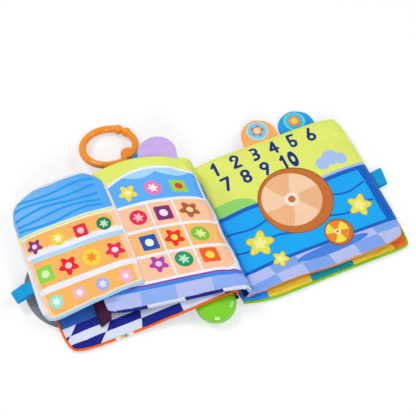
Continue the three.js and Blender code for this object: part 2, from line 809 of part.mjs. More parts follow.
function lowerShell() {
  const rim = moduleParting - seat;
  const outside = [
    ...roundedLevels(moduleFloor, moduleFloor + moduleLowerRadius, moduleLowerRadius),
    [rim - moduleSeamInset, 0],
    [rim, moduleSeamInset],
  ];
  const wallRadius = moduleLowerRadius - moduleWall;
  const inside = [
    ...roundedLevels(floorTop, floorTop + wallRadius, wallRadius, moduleWall),
    [rim + overrun, moduleWall],
  ];
  const top = moduleParting - 2 * moduleWall;
  let shell = housing(outside).subtract(housing(inside));
  for (const [x, y] of casePosts) {
    shell = shell.add(post(x, y, postRadius, floorTop - overrun, top));
    shell = shell.subtract(post(x, y, screwHeadRadius + seat, -overrun, screwSeat));
    shell = shell.subtract(post(x, y, screwShankRadius + seat, -overrun, top + overrun));
  }
  const holeRadius = buttonRadius + seat;
  shell = shell.subtract(post(moduleCentre, buttonY, holeRadius, -overrun, floorTop + overrun, roundSides));
  for (const slot of grille()) shell = shell.subtract(slot);
  const halfSlot = sliderSlotWidth / 2;
  const track = roundedShape(moduleCentre, sliderY, sliderSlotLength / 2, halfSlot, halfSlot / 2);
  shell = shell.subtract(slab(track, -overrun, floorTop + 2 * overrun));
  const bay = roundedShape(moduleCentre, doorMid, doorHalfWidth + seat, doorHalfLength + seat, doorCorner);
  shell = shell.subtract(slab(bay, -overrun, floorTop + 2 * overrun));
  return piece('module_lower_shell', geometryOf(shell), plastic(0x7ed820));
}

function upperShell() {
  const outside = [
    [moduleParting, moduleSeamInset],
    [moduleParting + moduleSeamInset, 0],
    ...roundedLevels(moduleCrown, moduleParting + 2 * moduleSeamInset, moduleCrownInset).reverse(),
  ];
  const crownInset = moduleCrownInset - moduleWall;
  const inside = [
    [moduleParting - overrun, moduleWall],
    ...roundedLevels(ceiling, moduleParting + moduleSeamInset, crownInset, moduleWall).reverse(),
  ];
  let shell = housing(outside).subtract(housing(inside));
  const low = moduleParting - 2 * moduleWall + seat;
  for (const [x, y] of casePosts) {
    shell = shell.add(post(x, y, postRadius, low, ceiling + seat));
    shell = shell.subtract(post(x, y, screwShankRadius + seat, low - overrun, ceiling - moduleWall));
  }
  const doorPostLow = floorTop + 2 * seat;
  shell = shell.add(post(...doorPost, postRadius, doorPostLow, ceiling + seat));
  const bore = post(...doorPost, screwShankRadius + seat, doorPostLow - overrun, ceiling - moduleWall);
  shell = shell.subtract(bore);
  const boardTop = boardFloor + boardThickness + seat;
  for (const side of [-1, 1]) {
    const x = moduleCentre + side * (boardHalfWidth - postRadius);
    shell = shell.add(post(x, buttonY, postRadius / 2, boardTop, ceiling + seat));
  }
  const lowRib = cellBottom - contactBump - contactThickness - 2 * seat - moduleWall / 3;
  const highRib = cellTop + contactThickness + 2 * seat + moduleWall / 3;
  for (const y of [lowRib, highRib]) {
    const rib = roundedShape(moduleCentre, y, doorHalfWidth - doorCorner, moduleWall / 3, moduleWall / 8);
    shell = shell.add(slab(rib, cellFloor + cellRadius, ceiling + seat - cellFloor - cellRadius));
  }
  return piece('module_upper_shell', geometryOf(shell), plastic(0x86e024));
}

function screw(name, x, y, head) {
  const shankTop = head + screwHeadHeight + screwLength;
  const profile = [
    [0, head], [screwHeadRadius * screwChamferShare, head], [screwHeadRadius, head + screwHeadHeight / 3],
    [screwHeadRadius, head + screwHeadHeight], [screwShankRadius, head + screwHeadHeight],
    [screwShankRadius, shankTop - screwShankRadius], [0, shankTop],
  ];
  return piece(name, geometryOf(turned(profile, x, y, postSides)), metal(0xb8bcc2));
}

function caseScrews() {
  return casePosts.map(([x, y], i) => screw(`case_screw_${i + 1}`, x, y, moduleFloor + screwRecess));
}

function batteryDoor() {
  const plate = roundedShape(moduleCentre, doorMid, doorHalfWidth, doorHalfLength, doorCorner);
  const doorFace = moduleFloor;
  let door = slab(plate, doorFace, doorThickness);
  const ribMid = (cellBottom + cellTop) / 2;
  const rib = roundedShape(moduleCentre, ribMid, doorRibHalf, cellLength / 2 - cellRadius, doorRibHalf / 2);
  door = door.add(slab(rib, doorFace + doorThickness - seat, doorRibHeight));
  const recessTop = doorFace + screwRecess + screwHeadHeight / 2;
  door = door.subtract(post(...doorPost, screwHeadRadius + seat, -overrun, recessTop));
  const holeTop = doorFace + doorThickness + overrun;
  door = door.subtract(post(...doorPost, screwShankRadius + seat, -overrun, holeTop));
  return piece('battery_door', geometryOf(door), plastic(0x78cc20));
}

function doorScrew() {
  const head = moduleFloor + screwRecess + screwHeadHeight / 2 - seat - screwHeadHeight;
  return screw('battery_door_screw', ...doorPost, Math.max(seat, head));
}

function cells() {
  return [-1, 1].map((side, i) => {
    const length = cellLength - cellNubHeight;
    const profile = [[0, 0], [cellRadius, 0], [cellRadius, length], [cellNubRadius, length],
      [cellNubRadius, cellLength], [0, cellLength]].map(([r, h]) => new THREE.Vector2(r, h));
    const geometry = new THREE.LatheGeometry(profile, roundSides / 2);
    const matrix = new THREE.Matrix4().makeTranslation(
      moduleCentre + side * cellSpread,
      side > 0 ? cellBottom : cellTop,
      cellFloor + cellRadius,
    );
    if (side < 0) matrix.multiply(new THREE.Matrix4().makeRotationZ(Math.PI));
    return piece(`battery_cell_${i + 1}`, geometryOf(solid(geometry, matrix)), metal(0xc9a227));
  });
}

function contact(name, y, bumpSide) {
  const halfHeight = cellRadius * contactShare;
  const halfWidth = cellSpread + halfHeight;
  const shape = roundedShape(moduleCentre, cellFloor + cellRadius, halfWidth, halfHeight, cellRadius / 4);
  const upright = new THREE.Matrix4().makeTranslation(0, y + contactThickness, 0);
  upright.multiply(new THREE.Matrix4().makeRotationX(Math.PI / 2));
  let plate = slab(shape, 0, contactThickness, upright);
  if (bumpSide) {
    for (const side of [-1, 1]) {
      const cone = new THREE.CylinderGeometry(cellNubRadius / 2, cellNubRadius, contactBump, postSides);
      const place = new THREE.Matrix4().makeTranslation(
        moduleCentre + side * cellSpread,
        y + contactThickness + contactBump / 2,
        cellFloor + cellRadius,
      );
      plate = plate.add(solid(cone, place));
    }
  }
  return piece(name, geometryOf(plate), metal(0xd8d8d8));
}

function contacts() {
  const springY = cellBottom - seat - contactBump - contactThickness;
  return [contact('spring_contact', springY, true), contact('bridge_contact', cellTop + seat, false)];
}

function button() {
  const flangeLow = floorTop + seat;
  const flangeTop = flangeLow + buttonFlangeThickness;
  const flangeRadius = buttonRadius + buttonFlange;
  const profile = [
    [0, buttonFace],
    ...plungerShares.map(([out, rise]) => [buttonRadius * out, buttonFace + rise * buttonWall]),
    [buttonRadius, buttonFace + buttonWall],
    [buttonRadius, flangeLow],
    [flangeRadius, flangeLow],
    [flangeRadius, flangeTop],
    [buttonRadius - buttonWall, flangeTop],
    [buttonRadius - buttonWall, buttonFace + 3 * buttonWall / 2],
    [0, buttonFace + buttonWall],
  ];
  return piece('push_button', geometryOf(turned(profile, moduleCentre, buttonY)), plastic(0xffd23c));
}

function silicone() {
  const low = floorTop + 2 * seat + buttonFlangeThickness;
  const high = low + domeHeight;
  const ring = [
    [domeInner, low],
    [domeOuter, low],
    [mix(domeOuter, domeInner, domeTopShare), high],
    [mix(domeInner, domeOuter, domeTopShare), high],
    [domeInner, low],
  ];
  const flat = buttonRadius - buttonWall - seat;
  const scaled = ring.map(([radius, z]) => [Math.min(radius, flat), z]);
  return piece('silicone_ring', geometryOf(turned(scaled, moduleCentre, buttonY)), cloth(0xe8e8e8));
}

function circuitBoard() {
  const plate = roundedShape(moduleCentre, buttonY, boardHalfWidth, boardLength / 2, moduleWall);
  return piece('circuit_board', geometryOf(slab(plate, boardFloor, boardThickness)), plastic(0x1f6b3a));
}

function lightDiode() {
  const low = buttonFace + buttonWall + buttonTravel + seat;
  const profile = [
    [0, low],
    [diodeRadius * diodeShoulderShare, low + diodeRadius * diodeDomeShare],
    [diodeRadius, low + diodeRadius],
    [diodeRadius, boardFloor - seat],
    [0, boardFloor - seat],
  ];
  const dome = turned(profile, moduleCentre, buttonY, postSides);
  return piece('light_diode', geometryOf(dome), plastic(0xfff4d0));
}

function speaker() {
  const low = floorTop + seat;
  const rim = low + speakerRimHeight;
  const back = rim + speakerMagnetHeight;
  const profile = [
    [0, low + moduleWall / 2],
    [speakerRadius * speakerConeShare, low + moduleWall / 2],
    [speakerRadius * speakerRimShare, low],
    [speakerRadius, low],
    [speakerRadius, low + speakerRimHeight / 2],
    [speakerMagnetRadius, rim],
    [speakerMagnetRadius, back],
    [0, back],
  ];
  const body = turned(profile, moduleCentre, speakerY, roundSides / 2);
  return piece('speaker', geometryOf(body), metal(0x4a4d52));
}

function powerSlider() {
  const off = moduleCentre - sliderTravel / 2;
  const plateHalf = sliderSlotLength / 2 + sliderPlateMargin;
  const knobHalf = (sliderSlotLength - sliderTravel) / 2 - seat;
  const halfPlate = sliderSlotWidth / 2 + sliderPlateMargin;
  const plate = roundedShape(off, sliderY, plateHalf, halfPlate, sliderPlateMargin / 2);
  const knob = roundedShape(off, sliderY, knobHalf, sliderSlotWidth / 2 - seat, sliderSlotWidth / 8);
  let slider = slab(plate, floorTop + seat, sliderPlateThickness);
  slider = slider.add(slab(knob, moduleFloor + seat, floorTop + 2 * seat - moduleFloor));
  return piece('power_slider', geometryOf(slider), plastic(0x2b2f3a));
}

// Carry ring: a round tube with two knobs at its gap and a slotted lug for the strap
const ringTilt = THREE.MathUtils.degToRad(ringTiltDegrees);
const lugAngle = THREE.MathUtils.degToRad(ringLugDegrees);
const ringCentreY = leftCoverBottom + leftCoverHeight + ringBeyondCover;
const ringCentreZ = ringTubeRadius + seat + ringRadius * Math.sin(ringTilt);
const lugOut = new THREE.Vector3(Math.cos(lugAngle), Math.sin(lugAngle), 0);
const lugAcross = new THREE.Vector3(-lugOut.y, lugOut.x, 0);
const ringPlace = new THREE.Matrix4().makeBasis(
  lugOut.clone().multiplyScalar(Math.cos(ringTilt)).add(new THREE.Vector3(0, 0, Math.sin(ringTilt))),
  lugAcross,
  lugOut.clone().multiplyScalar(-Math.sin(ringTilt)).add(new THREE.Vector3(0, 0, Math.cos(ringTilt))),
).setPosition(ringCentreX, ringCentreY, ringCentreZ);

function carryRing() {
  const gap = THREE.MathUtils.degToRad(ringGapDegrees - ringLugDegrees);
  const halfGap = (ringGapHalf + ringKnobRadius) / ringRadius;
  const steps = ringSteps;
  const points = [];
  for (let i = 0; i <= steps; i += 1) {
    const angle = gap + halfGap + (2 * Math.PI - 2 * halfGap) * i / steps;
    points.push(new THREE.Vector3(ringRadius * Math.cos(angle), ringRadius * Math.sin(angle), 0));
  }
  let ring = solid(tubeGeometry(points, ringTubeRadius, ringSides));
  for (const side of [-1, 1]) {
    const angle = gap + side * halfGap;
    const knob = new THREE.SphereGeometry(ringKnobRadius, knobSides, knobSides / 2 + 2);
    const spot = new THREE.Vector3(ringRadius * Math.cos(angle), ringRadius * Math.sin(angle), 0);
    ring = ring.add(solid(knob, new THREE.Matrix4().setPosition(spot)));
  }
  ring = ring.add(post(ringRadius, 0, lugRadius, -lugHalf, lugHalf, roundSides));
  const slotMid = ringRadius + (slotOuter - slotInner) / 2;
  const slot = roundedShape(slotMid, 0, (slotOuter + slotInner) / 2, slotHalfLength, slotInner / 2);
  const flatCorner = ringTubeRadius - lugHalf;
  const flat = roundedShape(ringRadius, 0, lugRadius, slotHalfLength + clothGap, flatCorner);
  for (const low of [lugHalf, -lugHalf - ringTubeRadius]) {
    ring = ring.subtract(slab(flat, low, ringTubeRadius));
  }
  ring = ring.subtract(slab(slot, -ringTubeRadius - overrun, 2 * (ringTubeRadius + overrun)));
  return piece('carry_ring', geometryOf(ring.transform(ringPlace.toArray())), plastic(0xff8c00));
}

// Ring strap: sewn on the left cover, over the bar of the lug, through its slot and back below it
function ringStrap() {
  const barEnd = ringRadius + slotOuter;
  const turnMid = new THREE.Vector3(barEnd + strapHalf, 0, 0).applyMatrix4(ringPlace);
  const edge = (leftCoverBottomAt(-turnMid.x) + leftCoverHeight - turnMid.y) / lugOut.y;
  const coverTop = leftCoverHigh + leftCoverHalf + clothGap + strapHalf;
  const lip = lugRadius - slotOuter + seat;
  const slope = Math.tan(ringTilt);
  const at = (along, z) => turnMid.clone().addScaledVector(lugOut, along).setZ(z);
  const round = (degrees) => {
    const angle = THREE.MathUtils.degToRad(degrees) + ringTilt;
    return at(strapTurn * Math.cos(angle), turnMid.z + strapTurn * Math.sin(angle));
  };
  const under = turnMid.z + lip * slope - strapTurn;
  const above = turnMid.z + lip * slope + strapTurn;
  const [dipAlong, dipRise] = strapDipShares;
  const [endAlong, endRise] = strapEndShares;
  const points = [
    at(edge + strapLap, coverTop),
    at(edge, coverTop),
    at(edge - trim / 2, coverTop),
    at(lip, above),
    ...strapBends.map(round),
    at(lip, under),
    at(mix(lip, edge - trim, dipAlong), mix(under, coverTop, dipRise)),
    at(mix(lip, edge - trim, endAlong), mix(above, coverTop, endRise) - 3 * strapHalf),
  ];
  const path = new THREE.CatmullRomCurve3(points, false, 'centripetal');
  const lie = (a, b) => {
    const share = clamp((a + 1) / 2);
    const past = Math.max(0, Math.abs(a) - 1) * Math.sign(a);
    const spot = path.getPoint(share).addScaledVector(path.getTangent(share), past);
    return spot.addScaledVector(lugAcross, -b * strapHalfWidth);
  };
  const strip = sheetGeometry(stripCells * 4, 2, lie, () => strapHalf);
  return piece('ring_strap', strip, cloth(0x00a0c8));
}

const book = new THREE.Group();
const ribbon = ribbons();
const tab = indexTabs();
book.add(
  spinePanel(),
  ...rightCover(),
  tab.blue,
  ribbon.right,
  rightPageGusset(),
  rightPage(),
  tab.orange,
  coverHingeCloth(),
  ...leftCover(),
  feltDisc(),
  closingStrap(),
  ringStrap(),
  carryRing(),
  leftPageGusset(),
  leftPage(),
  tab.lilac,
  doorFlap(),
  ribbon.left,
  lowerShell(),
  upperShell(),
  ...caseScrews(),
  batteryDoor(),
  doorScrew(),
  ...cells(),
  ...contacts(),
  button(),
  silicone(),
  circuitBoard(),
  lightDiode(),
  speaker(),
  powerSlider(),
);

export default book;
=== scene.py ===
import json
import math

import bpy
import numpy as np
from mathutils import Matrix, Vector

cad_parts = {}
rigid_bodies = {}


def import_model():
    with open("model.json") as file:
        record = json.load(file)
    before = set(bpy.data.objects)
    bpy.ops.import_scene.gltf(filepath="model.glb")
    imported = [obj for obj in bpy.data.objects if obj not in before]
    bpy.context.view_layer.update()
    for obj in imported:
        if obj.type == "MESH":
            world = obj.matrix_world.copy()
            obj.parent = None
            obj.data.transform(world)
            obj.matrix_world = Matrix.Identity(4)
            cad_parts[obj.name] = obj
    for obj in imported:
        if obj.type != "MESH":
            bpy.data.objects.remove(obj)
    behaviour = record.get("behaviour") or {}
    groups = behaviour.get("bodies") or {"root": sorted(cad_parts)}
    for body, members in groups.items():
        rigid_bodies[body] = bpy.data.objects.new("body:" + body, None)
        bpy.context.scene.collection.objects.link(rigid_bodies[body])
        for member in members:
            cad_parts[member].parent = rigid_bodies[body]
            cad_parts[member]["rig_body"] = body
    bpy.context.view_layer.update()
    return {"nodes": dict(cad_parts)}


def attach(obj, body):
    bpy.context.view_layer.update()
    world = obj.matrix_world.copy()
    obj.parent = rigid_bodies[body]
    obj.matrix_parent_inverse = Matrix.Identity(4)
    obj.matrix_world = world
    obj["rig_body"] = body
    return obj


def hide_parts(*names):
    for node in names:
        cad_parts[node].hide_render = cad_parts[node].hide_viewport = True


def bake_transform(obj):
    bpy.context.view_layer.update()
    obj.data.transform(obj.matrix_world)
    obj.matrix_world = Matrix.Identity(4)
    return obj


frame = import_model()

# Units, and the UV map that holds the prints
MM = 0.001
PRINT_UNIT = 100.0
PRINT_MAP = "print"

# Seams and outlines, in millimetres as everywhere below
SEAM_HALF = 1.1
TRIM = 4.3
CORNER_POWER = 8
PILLOW_POWER = 6
STEP = 1e-3

# Right cover and page
SPINE_HALF = 7.0
RIGHT_COVER_INNER = -4.0
RIGHT_COVER_LIFT = 8.0
RIGHT_COVER_LIFT_LENGTH = 42.0
RIGHT_COVER_LIFT_POWER = 1.9
RIGHT_COVER_FORE = 172.2
RIGHT_COVER_HEIGHT = 163.0
RIGHT_COVER_DROP = 2.0
RIGHT_COVER_TRIM = 1.6
RIGHT_COVER_HALF = 3.25
RIGHT_COVER_MID = 2.75
RIGHT_COVER_CORNER = 2.4
RIGHT_COVER_SAG = 2.2
RIGHT_PAGE_INNER = 14.0
RIGHT_PAGE_FORE = 171.7
PAGE_HEIGHT = 157.0
RIGHT_PAGE_HALF = 4.25
RIGHT_PAGE_CORNER = 4.5
RIGHT_PAGE_TUCK = 0.4
RIGHT_PAGE_LIFT = 3.0
RIGHT_PAGE_LIFT_END = 45.0
RIGHT_PAGE_LIFT_LENGTH = 60.0
RIGHT_PAGE_MID = 10.55
RIGHT_PAGE_DIP = 2.15
RIGHT_PAGE_DIP_LENGTH = 26.0
PAGE_CORNER = 4.0
PAGE_TURN = -0.86
GUTTER_DRAW = 0.02
GUTTER_REACH = 26.0
GUTTER_SECTION = [(3.6, 5.0), (7.2, 7.4), (10.6, 8.4), (14.0, 8.4)]

# Left cover
LEFT_COVER_INNER = 9.4
LEFT_COVER_FORE = 168.7
LEFT_COVER_HEIGHT = 158.0
LEFT_COVER_HALF = 2.25
LEFT_COVER_CORNER = 4.6
LEFT_COVER_BOTTOM = -75.5
LEFT_COVER_LIFT = 13.0
LEFT_COVER_LIFT_LENGTH = 110.0
LEFT_COVER_LOW = 2.75
LEFT_COVER_CLIMB = 15.0
LEFT_COVER_FALL_START = 41.5
LEFT_COVER_FALL = 80.0
LEFT_COVER_POWER = 2.2
LEFT_COVER_LOW_PLACES = (8, 43, 74, 104, 138, 172)
LEFT_COVER_LOW_EDGE = (-66.6, -66.8, -63.2, -62.0, -61.3, -61.2)

# Left page and its folding panel
LEAF_INNER = 4.3
LEAF_FORE_BOTTOM = 127.5
LEAF_FORE_TOP = 94.0
LEAF_BOTTOM = -72.0
LEAF_TOP = 77.5
LEAF_BULGE = 4.0
LEAF_FAN = 0.25
LEAF_HALF = 2.5
LEAF_LOW = 16.0
LEAF_CLIMB = 13.8
LEAF_CLIMB_FROM = 20.0
LEAF_CLIMB_LENGTH = 90.0
LEAF_CLIMB_POWER = 1.5
LEAF_TILT = 8.0
LEAF_TILT_CREST = 3.0
LEAF_HUMP = 8.0
LEAF_HUMP_PLACE = 50.0
LEAF_HUMP_WIDTH = 30.0
LEAF_TILT_POWER = 1.3
FLAP_HINGE = 85.0
FLAP_FORE_BOTTOM = 183.0
FLAP_FORE_TOP = 174.0
FLAP_BOTTOM = -32.5
FLAP_DROP = 8.0
FLAP_TOP = 100.0
FLAP_RISE = 3.0
FLAP_HALF = 3.0
FLAP_CORNER = 5.0
FLAP_GAP = 0.45
FLAP_FREE_LOW = 14.0
FLAP_FREE_HIGH = 20.0
FLAP_LOW_EDGE = -28.7
FLAP_LOW_RISE = 6.3
FLAP_LOW_POWER = 0.6
FLAP_HIGH_EDGE = 103.8
FLAP_HIGH_FALL = 6.5
FLAP_INNER = -6.6
FLAP_INNER_BULGE = 4.1
FLAP_INNER_MIDDLE = 50.0
FLAP_INNER_LENGTH = 80.0
FLAP_INNER_TOP = 20.5
FLAP_INNER_TOP_LENGTH = 52.0
FLAP_INNER_TOP_POWER = 5.2


def mix(low, high, share):
    return low + (high - low) * share


def clamp(value):
    return np.clip(value, 0.0, 1.0)


def smooth(value):
    held = clamp(value)
    return held * held * (3 - 2 * held)


def drawn(along, across, share):
    """Draws the corners of an outline in by a share of its half size."""
    return along * (1 - share * np.abs(across) ** CORNER_POWER)


def bezier(points, share):
    p = [np.array(q) for q in points]
    t = np.asarray(share)[..., None]
    return (1 - t) ** 3 * p[0] + 3 * (1 - t) ** 2 * t * p[1] + 3 * (1 - t) * t ** 2 * p[2] + t ** 3 * p[3]


# The surfaces that the pads lie on, for shares a and b from -1 to 1
def right_cover_lie(a, b):
    half_length = (RIGHT_COVER_FORE - RIGHT_COVER_INNER) / 2
    half_height = RIGHT_COVER_HEIGHT / 2 - RIGHT_COVER_TRIM
    middle = (RIGHT_COVER_FORE + RIGHT_COVER_INNER) / 2
    x = middle + drawn(a, b, RIGHT_COVER_CORNER / half_length) * half_length
    y = drawn(b, np.maximum(0, a), RIGHT_COVER_CORNER / half_height) * half_height - RIGHT_COVER_DROP
    near = 1 - clamp((x - RIGHT_COVER_INNER) / RIGHT_COVER_LIFT_LENGTH)
    lift = RIGHT_COVER_LIFT * near ** RIGHT_COVER_LIFT_POWER
    y = y + (lift - RIGHT_COVER_SAG * clamp(a) ** 3) * (1 - b) / 2
    return x, y, np.full_like(x, RIGHT_COVER_MID)


def flat_page_lie(a, b):
    half_length = (RIGHT_PAGE_FORE - RIGHT_PAGE_INNER) / 2
    half_height = PAGE_HEIGHT / 2
    x = RIGHT_PAGE_INNER + half_length + drawn(a, b, RIGHT_PAGE_CORNER / half_length) * half_length
    x = x - RIGHT_PAGE_TUCK * clamp(a) * ((1 - b) / 2) ** 3
    y = drawn(b, np.maximum(0, a), RIGHT_PAGE_CORNER / half_height) * half_height
    dip = RIGHT_PAGE_DIP * (1 - smooth((x - RIGHT_PAGE_INNER) / RIGHT_PAGE_DIP_LENGTH))
    return x, y, RIGHT_PAGE_MID - dip


def right_page_lie(a, b):
    """The right page, and its gutter where it turns down to the spine."""
    a, b = np.broadcast_arrays(a, b)
    flat = flat_page_lie(np.maximum(-1, (a - PAGE_TURN) / (1 - PAGE_TURN) * 2 - 1), b)
    spot = bezier(GUTTER_SECTION, clamp((a + 1) / (1 + PAGE_TURN)))
    turned = (spot[..., 0], b * PAGE_HEIGHT / 2, spot[..., 1])
    x, y, z = [np.where(a < PAGE_TURN, p, q) for p, q in zip(turned, flat)]
    x = x + np.minimum(0, a + 1) * 10
    lift = RIGHT_PAGE_LIFT * (1 - smooth((x - RIGHT_PAGE_LIFT_END) / RIGHT_PAGE_LIFT_LENGTH)) * (1 - b) / 2
    return x, y * (1 - GUTTER_DRAW * (1 - smooth((x - 3) / GUTTER_REACH))) + lift, z


def left_cover_bottom(distance):
    return LEFT_COVER_BOTTOM + LEFT_COVER_LIFT * (1 - (1 - clamp(distance / LEFT_COVER_LIFT_LENGTH)) ** 2)


def left_cover_lie(a, b):
    half_length = (LEFT_COVER_FORE - LEFT_COVER_INNER) / 2
    half_height = LEFT_COVER_HEIGHT / 2 - TRIM
    fore = np.minimum(0, a)
    along = np.where(fore < 0, drawn(a, b, LEFT_COVER_CORNER / half_length), a)
    distance = LEFT_COVER_INNER + half_length - along * half_length
    across = drawn(b, fore, LEFT_COVER_CORNER / half_height)
    low = np.interp(distance, LEFT_COVER_LOW_PLACES, LEFT_COVER_LOW_EDGE)
    y = mix(low, left_cover_bottom(distance) + LEFT_COVER_HEIGHT - TRIM, (across + 1) / 2)
    fall = clamp((distance - LEFT_COVER_FALL_START) / LEFT_COVER_FALL)
    return -distance, y, LEFT_COVER_LOW + LEFT_COVER_CLIMB * (1 - fall) ** LEFT_COVER_POWER


def leaf_top(distance, v):
    """Height of the left page, by distance from the spine and share of the way to its top."""
    fall = clamp((distance - LEAF_CLIMB_FROM) / LEAF_CLIMB_LENGTH)
    slope = LEAF_LOW + LEAF_CLIMB * (1 - fall) ** LEAF_CLIMB_POWER
    hump = LEAF_HUMP * np.exp(-(((distance - LEAF_HUMP_PLACE) / LEAF_HUMP_WIDTH) ** 2))
    rise = LEAF_TILT + LEAF_TILT_CREST * smooth(distance / 30) + hump
    return slope + rise * clamp(v) ** LEAF_TILT_POWER


def leaf_height(distance, v):
    bulge = LEAF_BULGE * np.sin(np.pi * clamp(distance / 100))
    return mix(LEAF_BOTTOM, LEAF_TOP + bulge, v) + LEAF_FAN * distance


def leaf_lie(a, b):
    fore = np.minimum(0, a)
    along = np.where(fore < 0, drawn(a, b, PAGE_CORNER / (LEAF_FORE_BOTTOM / 2)), a)
    v = (drawn(b, fore, PAGE_CORNER / (PAGE_HEIGHT / 2)) + 1) / 2
    distance = mix(LEAF_INNER, mix(LEAF_FORE_BOTTOM, LEAF_FORE_TOP, v), (1 - along) / 2)
    return -distance, leaf_height(distance, v), leaf_top(distance, v) - LEAF_HALF


def flap_sides(s):
    """The lower and upper border of the folding panel, at a share from its hinge side."""
    low = FLAP_LOW_EDGE + FLAP_LOW_RISE * clamp(s) ** FLAP_LOW_POWER
    return low, FLAP_HIGH_EDGE - FLAP_HIGH_FALL * smooth((s - 0.5) / 0.5)


def flap_inner(v):
    """How far the hinge side bulges over the page, by height."""
    under = (FLAP_INNER_MIDDLE - np.minimum(v, FLAP_INNER_MIDDLE)) / FLAP_INNER_LENGTH
    over = clamp((v - FLAP_INNER_MIDDLE) / FLAP_INNER_TOP_LENGTH)
    return FLAP_INNER + FLAP_INNER_BULGE * under ** 2 + FLAP_INNER_TOP * over ** FLAP_INNER_TOP_POWER


def flap_lie(a, b):
    half_length = (FLAP_FORE_BOTTOM - FLAP_HINGE) / 2
    half_height = (FLAP_TOP - FLAP_BOTTOM) / 2
    fore = np.minimum(0, a)
    along = np.where(fore < 0, drawn(a, b, FLAP_CORNER / half_length), a)
    share = (1 - along) / 2
    low, high = flap_sides(share)
    v = mix(low, high, (drawn(b, fore, FLAP_CORNER / half_height) + 1) / 2)
    height = (v - FLAP_BOTTOM) / (FLAP_TOP - FLAP_BOTTOM)
    out = mix(flap_inner(v), mix(FLAP_FORE_BOTTOM, FLAP_FORE_TOP, height) - FLAP_HINGE, share)
    s = clamp(out / (FLAP_FORE_BOTTOM - FLAP_HINGE))
    y = mix(FLAP_BOTTOM - FLAP_DROP * s, FLAP_TOP + FLAP_RISE * s, height)
    distance = FLAP_HINGE + out
    held = np.minimum(distance, FLAP_HINGE)
    low_y, high_y = leaf_height(held, 0.0), leaf_height(held, 1.0)
    lift = mix(SEAM_HALF, FLAP_HALF, clamp(1 - a ** 8))
    hinge = leaf_top(held, (y - low_y) / (high_y - low_y)) + FLAP_GAP + lift
    free = mix(FLAP_FREE_LOW, FLAP_FREE_HIGH, height) - FLAP_HALF
    return -distance, y, mix(hinge, free, s ** 2)


def pillow(full):
    """Half the thickness of a sewn pad: full in the middle and a seam at its edges."""
    def half(a, b):
        crown = clamp((1 - np.abs(a) ** PILLOW_POWER) * (1 - np.abs(b) ** PILLOW_POWER))
        return SEAM_HALF + (full - SEAM_HALF) * np.sqrt(crown)
    return half


def points_of(lie, a, b):
    return np.stack([np.broadcast_to(c, np.shape(a)) for c in lie(a, b)], -1)


def normals_of(lie, a, b):
    along = points_of(lie, a + STEP, b) - points_of(lie, a - STEP, b)
    across = points_of(lie, a, b + STEP) - points_of(lie, a, b - STEP)
    out = np.cross(along, across)
    return out / np.linalg.norm(out, axis=-1, keepdims=True)


def ripples(u, v, seed, length, count=9):
    """Low folds of cloth: crossed waves of about one length, the same at each run."""
    draw = np.random.default_rng(seed)
    total = np.zeros_like(u)
    for _ in range(count):
        turn = draw.uniform(0, math.pi)
        size = length * draw.uniform(0.7, 1.5)
        phase = draw.uniform(0, 2 * math.pi)
        total += np.sin(2 * math.pi * (u * math.cos(turn) + v * math.sin(turn)) / size + phase)
    return total / math.sqrt(count)


# Objects
def deselect():
    if bpy.context.object and bpy.context.object.mode != "OBJECT":
        bpy.ops.object.mode_set(mode="OBJECT")
    bpy.ops.object.select_all(action="DESELECT")


def pick(*pieces):
    """Selects these pieces alone, with the last one active."""
    deselect()
    for piece in pieces:
        piece.select_set(True)
    bpy.context.view_layer.objects.active = pieces[-1]


def named(name):
    made = bpy.context.object
    made.name = name
    made.data.name = name
    return made


def coordinates(piece):
    flat = np.empty(len(piece.data.vertices) * 3, np.float32)
    piece.data.vertices.foreach_get("co", flat)
    return flat.reshape(-1, 3).astype(float)


def place(piece, points):
    piece.data.vertices.foreach_set("co", np.asarray(points, np.float32).ravel())
    piece.data.update()


def apply_modifier(piece, kind, **settings):
    modifier = piece.modifiers.new(kind.title(), kind)
    for key, value in settings.items():
        setattr(modifier, key, value)
    pick(piece)
    bpy.ops.object.modifier_apply(modifier=modifier.name)
    return piece


def edit(piece, *steps):
    """Runs edit-mode steps on all of a piece."""
    pick(piece)
    bpy.ops.object.mode_set(mode="EDIT")
    bpy.ops.mesh.select_all(action="SELECT")
    for step in steps:
        step()
    bpy.ops.object.mode_set(mode="OBJECT")


def shade(piece, degrees=50):
    pick(piece)
    bpy.ops.object.shade_smooth_by_angle(angle=math.radians(degrees))


def settle(piece, node):
    """A finished piece takes the place of a CAD node and moves with its body."""
    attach(piece, frame["nodes"][node]["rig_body"])
    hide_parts(node)
    return piece


def share_out(value):
    """Spreads even shares so that the cells are finer near the edges."""
    return mix(value, np.sin(value * math.pi / 2), 0.55)


def grid(name, along, across):
    deselect()
    bpy.ops.mesh.primitive_grid_add(x_subdivisions=along, y_subdivisions=across, size=2)
    return named(name)


def skins(name, cells):
    """Two skins with a rim between them, from -1 to 1, and where their points start."""
    piece = grid(name, *cells)
    lift = {"value": (0, 0, 1)}
    edit(
        piece,
        lambda: bpy.ops.mesh.extrude_region_move(TRANSFORM_OT_translate=lift),
        lambda: bpy.ops.mesh.select_all(action="SELECT"),
        lambda: bpy.ops.mesh.normals_make_consistent(inside=False),
    )
    return piece, coordinates(piece)


def write_plan(piece, u, v):
    """A UV map that holds a point's place on the cloth, in hundreds of millimetres."""
    layer = piece.data.uv_layers.get(PRINT_MAP) or piece.data.uv_layers.new(name=PRINT_MAP)
    corners = np.empty(len(piece.data.loops), np.int32)
    piece.data.loops.foreach_get("vertex_index", corners)
    values = np.stack([np.asarray(u)[corners], np.asarray(v)[corners]], -1) / PRINT_UNIT
    layer.data.foreach_set("uv", values.astype(np.float32).ravel())


def write_edge(piece, edge):
    """How far a point is from the seam, in millimetres, for the stitches."""
    attribute = piece.data.attributes.new("seam", "FLOAT", "POINT")
    attribute.data.foreach_set("value", np.asarray(edge, np.float32))


